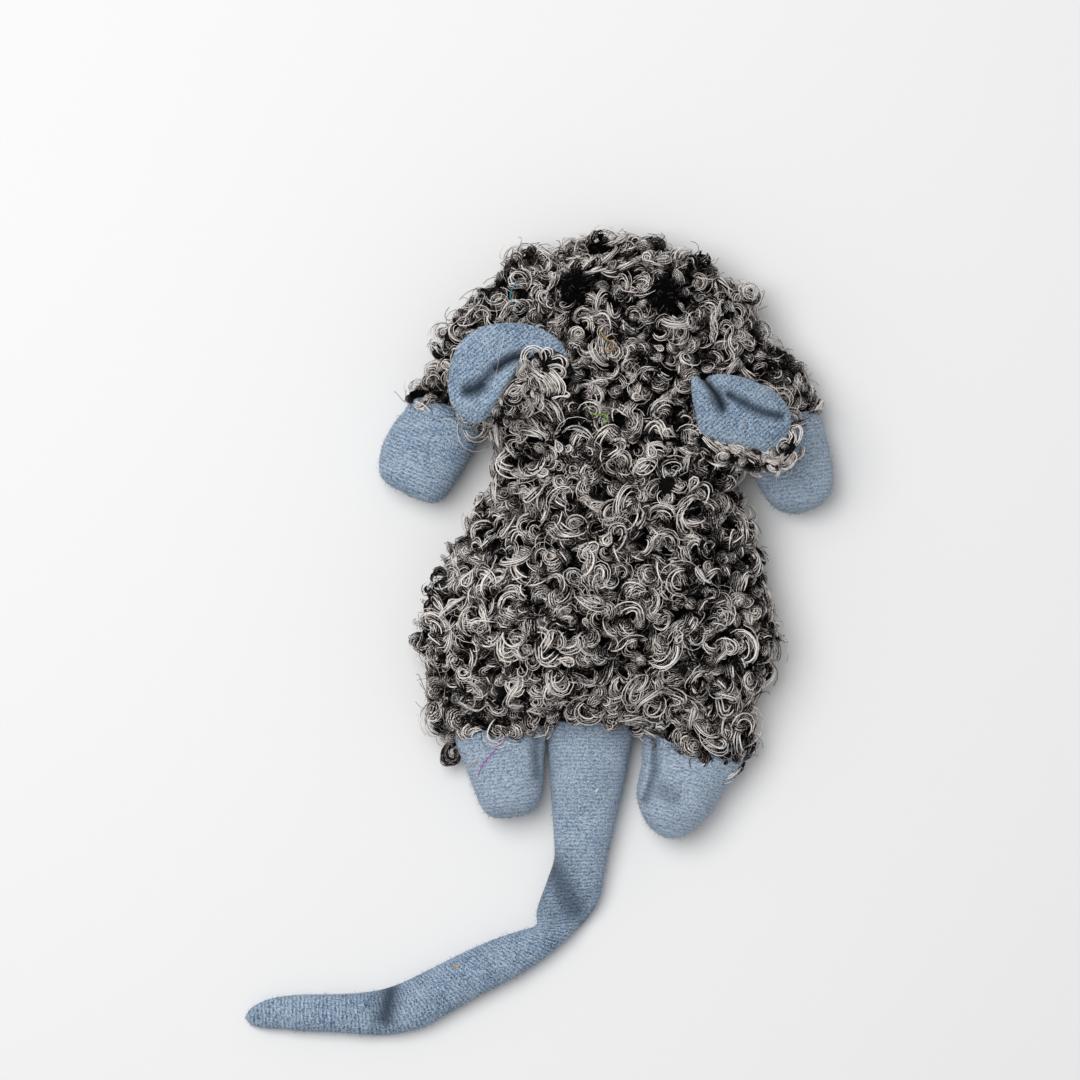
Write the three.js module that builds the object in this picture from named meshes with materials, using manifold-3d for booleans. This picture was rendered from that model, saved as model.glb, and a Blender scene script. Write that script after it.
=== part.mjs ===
import * as THREE from 'three';
import { mergeVertices } from 'three/addons/utils/BufferGeometryUtils.js';
import Module from 'manifold-3d';

const wasm = await Module();
wasm.setup();

// A soft catnip mouse that lies on its belly. Millimetres, +Y towards the nose, +Z up.
// The origin is in the belly's flat face. One bag of curly fabric is both body and head.
// It is sewn from a back and a belly panel along a seam all round, and stuffed.
// The paws, the tail and the ear linings are fleece.

// Cloth, gaps and how the toy stands
const CLEARANCE = 0.3;
const STAND_CUT = 0.5;
const CURLY_WALL = 3.8;
const PILE_RELIEF = 2.4;
const FLEECE_WALL = 1.2;
const CUT_OVERRUN = 2;
const TALL = 60;
const WELD_REACH = 0.0001;

// Body and head
const BODY_LENGTH = 94.4;
const NOSE_REACH = 68.6;
const BODY_HALF_WIDTH = 35;
const BACK_RISE = 20;
const SEAM_HEIGHT = 8;

// Limbs: the wrist radius is that of the soft hinge at the end of each stub
const WRIST_RADIUS = 6.2;
const WRIST_HALF_WIDTH = 8;
const FRONT_STUB_LENGTH = 13;
const HIND_STUB_LENGTH = 15;
const STUB_SWELL = 5;
const PAW_REACH = 19.6;
const PAW_HALF_WIDTH = 8;
const PAW_RISE = 5.2;
const PAW_DROP = 6.2;
const STRIP_MARGIN = 0.6;

// Tail
const TAIL_LENGTH = 97;
const TAIL_HALF_WIDTH = 7.5;
const TAIL_HALF_HEIGHT = 4.7;
const TAIL_STUB_LENGTH = 7;
const TAIL_ROOT_RADIUS = 5.4;
const TAIL_BEND_RADIUS = 4.6;

// Ears
const EAR_LENGTH = 21;
const EAR_HALF_WIDTH = 8;
const EAR_CUP = 6;
const EAR_LINING = 1.4;
const EAR_BACK = 2.6;
const EAR_RIM = 1.2;

// Eyes
const EYE_LENGTH = 6.2;
const EYE_WIDTH = 5.2;
const EYE_DEPTH = 3.6;

// Catnip pouch
const POUCH_LENGTH = 34;
const POUCH_WIDTH = 24;
const POUCH_DEPTH = 6;

// Values that follow from the sizes above
const HINGE_HEIGHT = WRIST_RADIUS - STAND_CUT;
const BELLY_DROP = SEAM_HEIGHT + STAND_CUT;
const ROUND_SIDES = 24;
const SIDE = { left: -1, right: 1 };

// Fullness of a section: 2 is an ellipse and more is boxier
const BACK_FULLNESS_SHARE = 2.1;
const BELLY_FULLNESS_SHARE = 2.8;
const LIMB_FULLNESS_SHARE = 2.4;
const TAIL_FULLNESS_SHARE = 2.1;

// Body and head, nose to rump: place along the length, left and right edges as shares of the
// half width, rise above the seam and drop below it
const bodyShares = [
  [0.008, -0.12, 0.22, 0.18, 0.25],
  [0.026, -0.26, 0.37, 0.36, 0.48],
  [0.046, -0.39, 0.54, 0.5, 0.64],
  [0.078, -0.53, 0.68, 0.65, 0.8],
  [0.121, -0.65, 0.82, 0.765, 0.92],
  [0.163, -0.755, 0.89, 0.83, 1],
  [0.211, -0.85, 0.94, 0.865, 1],
  [0.258, -0.885, 1.0, 0.875, 1],
  [0.306, -0.85, 0.98, 0.865, 1],
  [0.359, -0.71, 0.88, 0.83, 1],
  [0.412, -0.585, 0.805, 0.795, 1],
  [0.454, -0.56, 0.78, 0.78, 1],
  [0.502, -0.605, 0.77, 0.79, 1],
  [0.56, -0.69, 0.815, 0.83, 1],
  [0.624, -0.755, 0.875, 0.9, 1],
  [0.688, -0.865, 0.92, 0.965, 1],
  [0.751, -0.94, 0.955, 1, 1],
  [0.815, -0.975, 0.965, 0.99, 1],
  [0.868, -0.94, 0.94, 0.9, 1],
  [0.921, -0.875, 0.875, 0.7, 0.97],
  [0.958, -0.76, 0.77, 0.475, 0.85],
  [0.984, -0.53, 0.56, 0.25, 0.55],
];
const noseShare = 0.05;
const rumpShare = 0.02;

// How deep the pile parts between its clumps, in turn, and how far up the sides it starts
const gapShares = [1, 0.6, 0.85, 0.7, 0.95];
const lowPileShare = 0.3;

// Each limb: wrist place as shares of the half width and of the length from the nose, the heading
// it points in, how far the wrist reaches inwards and outwards, and its paw's rows: place along the
// reach, inner and outer edge, rise and drop
const limbs = [
  {
    name: 'left_front',
    side: 'left',
    wristShares: [-0.771, 0.3367],
    headingShares: [-0.41, -0.912],
    wristInnerShare: 0.93,
    wristOuterShare: 0.97,
    stubLength: FRONT_STUB_LENGTH,
    edgeShares: [
      [0.16, 0.88, 0.93, 0.88, 0.88],
      [0.33, 0.885, 0.99, 0.97, 0.97],
      [0.52, 0.855, 1.1, 1.02, 1],
      [0.74, 0.78, 1.04, 0.98, 1],
      [0.89, 0.6, 0.84, 0.8, 0.86],
      [0.965, 0.36, 0.56, 0.5, 0.55],
    ],
  },
  {
    name: 'right_front',
    side: 'right',
    wristShares: [0.977, 0.3487],
    headingShares: [0.12, -0.993],
    wristInnerShare: 0.88,
    wristOuterShare: 0.93,
    stubLength: FRONT_STUB_LENGTH,
    edgeShares: [
      [0.16, 0.8, 0.82, 0.86, 0.88],
      [0.33, 0.82, 0.88, 0.94, 0.97],
      [0.52, 0.82, 0.93, 1, 1],
      [0.74, 0.72, 0.94, 0.98, 1],
      [0.89, 0.53, 0.76, 0.8, 0.86],
      [0.965, 0.34, 0.48, 0.5, 0.55],
    ],
  },
  {
    name: 'left_hind',
    side: 'left',
    wristShares: [-0.547, 0.9547],
    headingShares: [0.12, -0.993],
    wristInnerShare: 1,
    wristOuterShare: 1.3,
    stubLength: HIND_STUB_LENGTH,
    edgeShares: [
      [0.16, 0.96, 0.97, 0.88, 0.88],
      [0.33, 0.95, 0.9, 0.98, 0.97],
      [0.52, 0.9, 0.78, 1.04, 1],
      [0.74, 0.8, 0.63, 0.98, 1],
      [0.89, 0.63, 0.4, 0.8, 0.86],
      [0.965, 0.42, 0.18, 0.5, 0.55],
    ],
  },
  {
    name: 'right_hind',
    side: 'right',
    wristShares: [0.514, 0.9917],
    headingShares: [-0.29, -0.957],
    wristInnerShare: 1.14,
    wristOuterShare: 1.45,
    stubLength: HIND_STUB_LENGTH,
    edgeShares: [
      [0.16, 1.08, 1.12, 0.88, 0.88],
      [0.33, 1.02, 1.02, 0.98, 0.97],
      [0.52, 0.98, 0.9, 1.04, 1],
      [0.74, 0.88, 0.72, 0.98, 1],
      [0.89, 0.66, 0.5, 0.8, 0.86],
      [0.965, 0.42, 0.26, 0.5, 0.55],
    ],
  },
];

// A stub's rows, shoulder to wrist: place along the stub, half width, swell above the wrist and
// lean towards the trunk
const stubShares = [
  [-1, 0.8, 1, 0.8],
  [-0.5, 1, 0.55, 0.2],
  [0, 1, 0, 0],
  [0.35, 0.96, 0, 0],
  [0.6, 0.9, 0, 0],
];

// The tail's root as shares of the half width and of the length from the nose. Then its middle line
// from there, as shares of the tail's length, with half width and half height
const tailRootShares = [-0.057, 0.9387];
const tailShares = [
  [0, 0, 1, 1],
  [0, -0.07, 0.97, 0.97],
  [0, -0.157, 0.867, 0.9],
  [-0.013, -0.271, 0.667, 0.8],
  [-0.028, -0.338, 0.69, 0.8],
  [-0.044, -0.39, 0.65, 0.74],
  [-0.073, -0.432, 0.42, 0.62],
  [-0.113, -0.457, 0.46, 0.64],
  [-0.149, -0.474, 0.54, 0.68],
  [-0.263, -0.53, 0.58, 0.7],
  [-0.342, -0.571, 0.6, 0.66],
  [-0.379, -0.581, 0.55, 0.6],
  [-0.436, -0.587, 0.51, 0.6],
  [-0.514, -0.587, 0.47, 0.57],
  [-0.591, -0.586, 0.41, 0.5],
  [-0.625, -0.589, 0.33, 0.42],
  [-0.647, -0.592, 0.21, 0.34],
];
const tailTipShares = [-0.661, -0.596];
const tailTipInsetShare = 0.012;
const MIDDLE_BEND_ROW = 6;
const TIP_BEND_ROW = 11;

// Ears: root place, heading, slope, droop, width rows and the section across the fold
const ears = [
  {
    name: 'left_ear',
    rootShares: [-0.236, 0.2547],
    headingShares: [-0.92, -0.39],
    slopeShare: -0.07,
    droopShare: 0.2,
    foldSide: -1,
    spanShares: [
      [-0.11, 0.5, 0.42, 0.05],
      [0.1, 0.8, 0.46, 0.2],
      [0.3, 1.15, 0.52, 0.6],
      [0.52, 1.3, 0.6, 0.95],
      [0.72, 1.2, 0.66, 1],
      [0.88, 0.92, 0.62, 0.85],
      [0.97, 0.58, 0.46, 0.6],
    ],
    foldShares: [
      [1, 0.3],
      [0.82, 0.13],
      [0.55, 0.02],
      [0.25, -0.04],
      [-0.1, 0.02],
      [-0.6, 0.3],
      [-1, 0.82],
    ],
  },
  {
    name: 'right_ear',
    rootShares: [0.53, 0.3047],
    headingShares: [0.8, -0.6],
    slopeShare: -0.29,
    droopShare: 0.02,
    foldSide: 1,
    spanShares: [
      [-0.11, 0.42, 0.42, 0.05],
      [0.1, 0.62, 0.7, 0.3],
      [0.3, 0.84, 0.92, 0.75],
      [0.52, 0.92, 0.96, 1],
      [0.72, 0.88, 0.86, 1],
      [0.88, 0.68, 0.62, 0.8],
      [0.97, 0.42, 0.36, 0.6],
    ],
    foldShares: [
      [1, 0.42],
      [0.75, 0.22],
      [0.4, 0.02],
      [0.1, -0.08],
      [-0.3, -0.02],
      [-0.7, 0.1],
      [-1, 0.3],
    ],
  },
];

// Eyes: place as shares of the half width and of the length from the nose
const eyes = [
  { name: 'left_eye', placeShares: [-0.126, 0.1127] },
  { name: 'right_eye', placeShares: [0.34, 0.1237] },
];

// Catnip pouch: its middle as a share of the length from the nose, then its rows: place along its
// half length, width and depth
const pouchPlaceShare = 0.66;
const pouchShares = [
  [-1, 0.35, 0.35],
  [-0.85, 0.75, 0.7],
  [-0.4, 0.97, 1],
  [0.4, 0.97, 1],
  [0.85, 0.75, 0.7],
  [1, 0.35, 0.35],
];

// Colours as they look in daylight
const curlyCloth = new THREE.MeshStandardMaterial({ color: 0x4c4a4a, roughness: 0.95, metalness: 0 });
const fleece = new THREE.MeshStandardMaterial({ color: 0x7d97b4, roughness: 0.95, metalness: 0 });
const filling = new THREE.MeshStandardMaterial({ color: 0xe9e6df, roughness: 1, metalness: 0 });
const pouchCloth = new THREE.MeshStandardMaterial({ color: 0x9aa37b, roughness: 1, metalness: 0 });
const eyeCloth = new THREE.MeshStandardMaterial({ color: 0x0c0c0d, roughness: 0.9, metalness: 0 });

// Turns a closed geometry into a solid that can be joined and cut
function solidOf(geometry) {
  const bare = geometry.clone();
  bare.deleteAttribute('normal');
  bare.deleteAttribute('uv');
  const merged = mergeVertices(bare, WELD_REACH);
  const vertProperties = new Float32Array(merged.attributes.position.array);
  const triVerts = new Uint32Array(merged.index.array);
  return new wasm.Manifold(new wasm.Mesh({ numProp: 3, vertProperties, triVerts }));
}

// Turns a solid back into a geometry
function geometryOf(solid) {
  const found = solid.getMesh();
  const geometry = new THREE.BufferGeometry();
  geometry.setAttribute('position', new THREE.BufferAttribute(new Float32Array(found.vertProperties), 3));
  geometry.setIndex(new THREE.BufferAttribute(new Uint32Array(found.triVerts), 1));
  geometry.computeVertexNormals();
  return geometry;
}

function meshOf(name, solid, material) {
  const mesh = new THREE.Mesh(geometryOf(solid), material);
  mesh.name = name;
  return mesh;
}

// A box from the floor up that reaches forwards in a frame, between two places across it
function forwardBox(frame, start, length, low, high) {
  const box = new THREE.BoxGeometry(length, high - low, TALL + CUT_OVERRUN);
  box.translate(start + length / 2, (low + high) / 2, (TALL - CUT_OVERRUN) / 2);
  box.rotateZ(frame.turn);
  box.translate(frame.x, frame.y, 0);
  return solidOf(box);
}

// Everything above one height and below another
function slab(low, high) {
  const reach = BODY_LENGTH + TAIL_LENGTH;
  const box = new THREE.BoxGeometry(2 * reach, 2 * reach, high - low);
  box.translate(0, 0, (low + high) / 2);
  return solidOf(box);
}

// A cylinder that lies across the frame at a height
function crossCylinder(frame, radius, halfLength, height) {
  const cylinder = new THREE.CylinderGeometry(radius, radius, 2 * halfLength, ROUND_SIDES);
  cylinder.rotateZ(frame.turn);
  cylinder.translate(frame.x, frame.y, height);
  return solidOf(cylinder);
}

// A cylinder that stands upright at the frame's place
function uprightCylinder(frame, radius) {
  const cylinder = new THREE.CylinderGeometry(radius, radius, TALL, ROUND_SIDES);
  cylinder.rotateX(Math.PI / 2);
  cylinder.translate(frame.x, frame.y, 0);
  return solidOf(cylinder);
}

// The columns of a table as smooth curves, read at a number of even steps from first row to last
function smoothRows(rows, count) {
  const columns = rows[0].map((_, column) => {
    const points = rows.map((row) => new THREE.Vector3(row[column], 0, 0));
    return new THREE.CatmullRomCurve3(points, false, 'catmullrom');
  });
  const read = (k) => columns.map((curve) => curve.getPoint(k / count).x);
  return Array.from({ length: count + 1 }, (_, k) => read(k));
}

// One ring of a soft section, in its own across and up directions
function sectionRing({ left, right, up, down, fullUp, fullDown, sides }) {
  const middle = (left + right) / 2;
  const half = (right - left) / 2;
  return Array.from({ length: sides }, (_, k) => {
    const angle = (2 * Math.PI * k) / sides;
    const c = Math.cos(angle);
    const s = Math.sin(angle);
    const full = s >= 0 ? fullUp : fullDown;
    const rise = s >= 0 ? up : down;
    const across = middle + half * Math.sign(c) * Math.abs(c) ** (2 / full);
    return [across, rise * Math.sign(s) * Math.abs(s) ** (2 / full)];
  });
}

// Skins a row of rings and closes both ends with a fan round a point. In clumps, every second
// corner is a gap, and the faces' diagonals join the gaps, so that each clump stands alone
function loft(rings, startPoint, endPoint, inClumps = false) {
  const sides = rings[0].length;
  const points = [...rings.flat(), startPoint, endPoint];
  const start = points.length - 2;
  const end = points.length - 1;
  const faces = [];
  for (let r = 0; r + 1 < rings.length; r += 1) {
    for (let k = 0; k < sides; k += 1) {
      const a = r * sides + k;
      const b = r * sides + ((k + 1) % sides);
      const turned = inClumps && (r + k) % 2 === 0;
      faces.push(...(turned ? [a, b, a + sides] : [a, b, b + sides]));
      faces.push(...(turned ? [b, b + sides, a + sides] : [a, b + sides, a + sides]));
    }
  }
  const last = (rings.length - 1) * sides;
  for (let k = 0; k < sides; k += 1) {
    const next = (k + 1) % sides;
    faces.push(start, next, k);
    faces.push(end, last + k, last + next);
  }
  const geometry = new THREE.BufferGeometry();
  const flat = points.flatMap((p) => [p.x, p.y, p.z]);
  geometry.setAttribute('position', new THREE.Float32BufferAttribute(flat, 3));
  geometry.setIndex(volumeOf(points, faces) < 0 ? faces.toReversed() : faces);
  return geometry;
}

function volumeOf(points, faces) {
  let sum = 0;
  for (let f = 0; f < faces.length; f += 3) {
    const [a, b, c] = [points[faces[f]], points[faces[f + 1]], points[faces[f + 2]]];
    sum += a.dot(b.clone().cross(c));
  }
  return sum / 6;
}

function middleOf(ring) {
  const sum = ring.reduce((total, p) => total.add(p), new THREE.Vector3());
  return sum.divideScalar(ring.length);
}

// A level frame at a place, with its forward and across directions
function frameAt(x, y, headingX, headingY) {
  const turn = Math.atan2(headingY, headingX);
  const forward = new THREE.Vector3(Math.cos(turn), Math.sin(turn), 0);
  const across = new THREE.Vector3(-Math.sin(turn), Math.cos(turn), 0);
  return { x, y, turn, forward, across };
}

function inFrame(frame, along, across, height) {
  const point = new THREE.Vector3(frame.x, frame.y, height);
  point.addScaledVector(frame.forward, along);
  return point.addScaledVector(frame.across, across);
}

// A place on the body from its shares of the half width and of the length from the nose
function bodyPlace([acrossShare, alongShare]) {
  return { x: acrossShare * BODY_HALF_WIDTH, y: NOSE_REACH - alongShare * BODY_LENGTH };
}

// Body and head
function bodyRows(count) {
  return smoothRows(bodyShares, count).map(([place, left, right, rise, drop]) => ({
    y: NOSE_REACH - place * BODY_LENGTH,
    left: left * BODY_HALF_WIDTH,
    right: right * BODY_HALF_WIDTH,
    rise: rise * BACK_RISE,
    drop: drop * BELLY_DROP,
  }));
}

const skinRows = bodyRows(30);

// A place along the body when its two ends are drawn in by an inset
function drawnIn(y, inset) {
  const middleY = NOSE_REACH - BODY_LENGTH / 2;
  return middleY + (y - middleY) * (1 - (2 * inset) / BODY_LENGTH);
}

// The trunk's rings drawn in by an inset all round, or let out by a negative one
function trunkRings(inset, rows, sides) {
  const widthShare = 1 - inset / BODY_HALF_WIDTH;
  const riseShare = 1 - inset / BACK_RISE;
  const dropShare = 1 - inset / BELLY_DROP;
  return rows.map((row) => {
    const ring = sectionRing({
      left: row.left * widthShare,
      right: row.right * widthShare,
      up: row.rise * riseShare,
      down: row.drop * dropShare,
      fullUp: BACK_FULLNESS_SHARE,
      fullDown: BELLY_FULLNESS_SHARE,
      sides,
    });
    return ring.map(([x, z]) => new THREE.Vector3(x, drawnIn(row.y, inset), SEAM_HEIGHT + z));
  });
}

// Whether the pile parts at a corner: not by an eye, nor low down where the toy lies on it
function pileParts(point) {
  const clearOfEyes = eyes.every((eye) => {
    const { x, y } = bodyPlace(eye.placeShares);
    return Math.hypot(point.x - x, point.y - y) > EYE_LENGTH;
  });
  return clearOfEyes && point.z > lowPileShare * SEAM_HEIGHT;
}

// The skin's rings with the pile in clumps: every second corner is drawn in
function clumpedRings(rows, sides) {
  const inner = trunkRings(PILE_RELIEF, rows, sides);
  return trunkRings(0, rows, sides).map((ring, r) => ring.map((point, k) => {
    const open = (r + k) % 2 === 1 && r > 0 && r + 1 < rows.length && pileParts(point);
    const depthShare = gapShares[(3 * r + k) % gapShares.length];
    return open ? point.lerp(inner[r][k], depthShare) : point;
  }));
}

function trunkSolid(rings, inset, inClumps) {
  const nose = new THREE.Vector3(noseShare * BODY_HALF_WIDTH, drawnIn(NOSE_REACH, inset), SEAM_HEIGHT);
  const rumpY = drawnIn(NOSE_REACH - BODY_LENGTH, inset);
  const rump = new THREE.Vector3(rumpShare * BODY_HALF_WIDTH, rumpY, SEAM_HEIGHT);
  return solidOf(loft(rings, nose, rump, inClumps));
}

// Height of the trunk's skin above the floor
function skinHeight(x, y) {
  const after = Math.max(skinRows.findIndex((row) => row.y < y), 1);
  const [a, b] = [skinRows[after - 1], skinRows[after]];
  const t = (a.y - y) / (a.y - b.y);
  const left = THREE.MathUtils.lerp(a.left, b.left, t);
  const right = THREE.MathUtils.lerp(a.right, b.right, t);
  const rise = THREE.MathUtils.lerp(a.rise, b.rise, t);
  const place = Math.min(Math.abs((2 * x - left - right) / (right - left)), 1);
  const full = BACK_FULLNESS_SHARE;
  return SEAM_HEIGHT + rise * (1 - place ** full) ** (1 / full);
}

const limbFrames = limbs.map(({ wristShares, headingShares }) => {
  const { x, y } = bodyPlace(wristShares);
  return frameAt(x, y, ...headingShares);
});

// A limb's stub: it shrinks towards the wrist, where it is as deep as the soft hinge is round
function stubSolid(limb, frame, inset, sides) {
  const wrist = WRIST_RADIUS - inset;
  const rings = smoothRows(stubShares, 5).map(([place, width, swell, lean]) => {
    const inner = (width * limb.wristInnerShare + lean) * WRIST_HALF_WIDTH - inset;
    const outer = (width * limb.wristOuterShare - lean) * WRIST_HALF_WIDTH - inset;
    const [left, right] = sidesAcross(limb, frame, inner, outer);
    const ring = sectionRing({
      left,
      right,
      up: wrist + swell * STUB_SWELL,
      down: wrist,
      fullUp: LIMB_FULLNESS_SHARE,
      fullDown: LIMB_FULLNESS_SHARE,
      sides,
    });
    return ring.map(([across, z]) => inFrame(frame, place * limb.stubLength, across, HINGE_HEIGHT + z));
  });
  return solidOf(loft(rings, middleOf(rings[0]), middleOf(rings.at(-1))));
}

// The two sides of a limb across its frame, from the halves towards and away from the trunk
function sidesAcross(limb, frame, innerHalf, outerHalf) {
  const inwardIsLeft = SIDE[limb.side] * frame.across.x > 0;
  return inwardIsLeft ? [-innerHalf, outerHalf] : [-outerHalf, innerHalf];
}

// The paw's strip past the wrist, kept clear of the trunk. An inset widens it, for what is inside
function strip(limb, frame, inset) {
  const margin = STRIP_MARGIN + inset;
  const inner = limb.wristInnerShare * WRIST_HALF_WIDTH + margin;
  const outer = limb.wristOuterShare * WRIST_HALF_WIDTH + margin;
  const length = PAW_REACH + 2 * margin;
  return forwardBox(frame, -inset, length, ...sidesAcross(limb, frame, inner, outer));
}

// What lies in that strip beyond a cylinder round the hinge
function pastWrist(limb, frame, radius) {
  const halfLength = 2 * WRIST_HALF_WIDTH + CUT_OVERRUN;
  return strip(limb, frame, 0).subtract(crossCylinder(frame, radius, halfLength, HINGE_HEIGHT));
}

// The tail
const tailRoot = bodyPlace(tailRootShares);
const tailRows = tailShares.map(([x, y, halfWidth, halfHeight]) => [
  tailRoot.x + x * TAIL_LENGTH,
  tailRoot.y + y * TAIL_LENGTH,
  halfWidth * TAIL_HALF_WIDTH,
  halfHeight * TAIL_HALF_HEIGHT,
]);
const tailTip = {
  x: tailRoot.x + tailTipShares[0] * TAIL_LENGTH,
  y: tailRoot.y + tailTipShares[1] * TAIL_LENGTH,
};

function tailSolid(inset, sides) {
  const rows = smoothRows(tailRows, 24);
  const rings = rows.map(([x, y, halfWidth, halfHeight], k) => {
    const before = rows[Math.max(k - 1, 0)];
    const after = rows[Math.min(k + 1, rows.length - 1)];
    const frame = frameAt(x, y, after[0] - before[0], after[1] - before[1]);
    const ring = sectionRing({
      left: inset - halfWidth,
      right: halfWidth - inset,
      up: halfHeight - inset,
      down: halfHeight - inset,
      fullUp: TAIL_FULLNESS_SHARE,
      fullDown: TAIL_FULLNESS_SHARE,
      sides,
    });
    return ring.map(([across, z]) => inFrame(frame, 0, across, halfHeight - STAND_CUT + z));
  });
  const tipInset = tailTipInsetShare * TAIL_LENGTH;
  const tip = new THREE.Vector3(tailTip.x, tailTip.y, tailRows.at(-1)[3] - STAND_CUT);
  tip.lerp(middleOf(rings.at(-1)), Math.min(inset / tipInset, 1));
  return solidOf(loft(rings, middleOf(rings[0]), tip));
}

function tailBendFrame(row) {
  const [before, here, after] = [tailRows[row - 1], tailRows[row], tailRows[row + 1]];
  return frameAt(here[0], here[1], after[0] - before[0], after[1] - before[1]);
}

const tailRootFrame = frameAt(tailRoot.x, tailRoot.y - TAIL_STUB_LENGTH, 0, -1);
const middleBendFrame = tailBendFrame(MIDDLE_BEND_ROW);
const tipBendFrame = tailBendFrame(TIP_BEND_ROW);

// What lies past each of the tail's three soft hinges
function pastTailRoot(radius) {
  const box = forwardBox(tailRootFrame, 0, TAIL_LENGTH, -TAIL_LENGTH, TAIL_LENGTH);
  const height = TAIL_HALF_HEIGHT - STAND_CUT;
  return box.subtract(crossCylinder(tailRootFrame, radius, TAIL_LENGTH, height));
}

function pastTailBend(frame, radius) {
  const box = forwardBox(frame, 0, TAIL_LENGTH, -TAIL_LENGTH, TAIL_LENGTH);
  return box.subtract(uprightCylinder(frame, radius));
}

// The whole outer form of the curly bag, or that form drawn in or let out
function bagSolid(inset, trunk, stubSides, inClumps = false) {
  return limbs.reduce((whole, limb, k) => {
    const frame = limbFrames[k];
    const stub = stubSolid(limb, frame, inset, stubSides);
    const rounded = stub.subtract(pastWrist(limb, frame, WRIST_RADIUS - inset));
    return whole.subtract(strip(limb, frame, inset)).add(rounded);
  }, trunkSolid(trunk, inset, inClumps));
}

const aboveFloor = slab(0, TALL);
const hollowRows = bodyRows(13);
const fillInset = CURLY_WALL + CLEARANCE;
const bag = bagSolid(0, clumpedRings(skinRows, 48), 14, true).intersect(aboveFloor);
const bagHollow = bagSolid(CURLY_WALL, trunkRings(CURLY_WALL, hollowRows, 14), 8);
const bagFill = bagSolid(fillInset, trunkRings(fillInset, hollowRows, 14), 8);
const bagClearance = bagSolid(-CLEARANCE, trunkRings(-CLEARANCE, skinRows, 28), 14);

// Eyes are sunk halfway into the skin, in pockets of their own form
function eyeSolid(eye, grow) {
  const { x, y } = bodyPlace(eye.placeShares);
  const step = EYE_WIDTH / 2;
  const slopeX = (skinHeight(x + step, y) - skinHeight(x - step, y)) / (2 * step);
  const slopeY = (skinHeight(x, y + step) - skinHeight(x, y - step)) / (2 * step);
  const outward = new THREE.Vector3(-slopeX, -slopeY, 1).normalize();
  const half = EYE_LENGTH / 2 + grow;
  const ball = new THREE.SphereGeometry(half, 12, 8);
  ball.scale((EYE_WIDTH / 2 + grow) / half, 1, (EYE_DEPTH / 2 + grow) / half);
  const turn = new THREE.Quaternion().setFromUnitVectors(new THREE.Vector3(0, 0, 1), outward);
  ball.applyQuaternion(turn);
  ball.translate(x, y, skinHeight(x, y));
  return solidOf(ball);
}

const eyeSolids = eyes.map((eye) => eyeSolid(eye, 0));
const eyePockets = eyes.map((eye) => eyeSolid(eye, CLEARANCE));

const halfGap = CLEARANCE / 2;
const aboveSeam = slab(SEAM_HEIGHT + halfGap, TALL);
const belowSeam = slab(0, SEAM_HEIGHT - halfGap);

const bagShell = eyePockets.reduce((shell, pocket) => shell.subtract(pocket), bag.subtract(bagHollow));

// The catnip pouch: a small pillow between the two halves of the filling
const pouchMiddle = bodyPlace([0, pouchPlaceShare]);

function pouchSolid(grow) {
  const rings = pouchShares.map(([along, width, depth]) => {
    const half = (width * POUCH_WIDTH) / 2 + grow;
    const rise = (depth * POUCH_DEPTH) / 2 + grow;
    const ring = sectionRing({
      left: -half,
      right: half,
      up: rise,
      down: rise,
      fullUp: TAIL_FULLNESS_SHARE,
      fullDown: TAIL_FULLNESS_SHARE,
      sides: 16,
    });
    const y = pouchMiddle.y + along * (POUCH_LENGTH / 2 + grow);
    return ring.map(([x, z]) => new THREE.Vector3(x, y, SEAM_HEIGHT + z));
  });
  return solidOf(loft(rings, middleOf(rings[0]), middleOf(rings.at(-1))));
}

const pouchRoom = pouchSolid(CLEARANCE);
const upperFilling = bagFill.subtract(pouchRoom).intersect(aboveSeam);
const lowerFilling = bagFill.subtract(pouchRoom).intersect(belowSeam);

// Paws: two fleece panels and a filling, open at the wrist
function pawForm(limb, frame, inset, sides) {
  const rings = smoothRows(limb.edgeShares, 6).map(([place, innerEdge, outerEdge, rise, drop]) => {
    const inner = innerEdge * PAW_HALF_WIDTH - inset;
    const outer = outerEdge * PAW_HALF_WIDTH - inset;
    const [left, right] = sidesAcross(limb, frame, inner, outer);
    const ring = sectionRing({
      left,
      right,
      up: rise * PAW_RISE - inset,
      down: drop * PAW_DROP - inset,
      fullUp: LIMB_FULLNESS_SHARE,
      fullDown: LIMB_FULLNESS_SHARE,
      sides,
    });
    const along = place * (PAW_REACH - inset);
    return ring.map(([across, z]) => inFrame(frame, along, across, HINGE_HEIGHT + z));
  });
  const toe = middleOf(rings.at(-1));
  const root = middleOf(rings[0]);
  const reach = (PAW_REACH - inset) * (1 - limb.edgeShares.at(-1)[0]);
  toe.addScaledVector(frame.forward, reach);
  return solidOf(loft(rings, root, toe));
}

function pawPieces(limb, frame) {
  const region = pastWrist(limb, frame, WRIST_RADIUS + CLEARANCE);
  const outer = pawForm(limb, frame, 0, 16).intersect(region).intersect(aboveFloor).subtract(bagClearance);
  const hollow = pawForm(limb, frame, FLEECE_WALL, 8);
  const fill = pawForm(limb, frame, FLEECE_WALL + CLEARANCE, 8);
  const shell = outer.subtract(hollow);
  const topSlab = slab(HINGE_HEIGHT + halfGap, TALL);
  const bottomSlab = slab(0, HINGE_HEIGHT - halfGap);
  return [
    meshOf(`${limb.name}_paw_top`, shell.intersect(topSlab), fleece),
    meshOf(`${limb.name}_paw_bottom`, shell.intersect(bottomSlab), fleece),
    meshOf(`${limb.name}_paw_filling`, fill.intersect(outer), filling),
  ];
}

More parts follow.
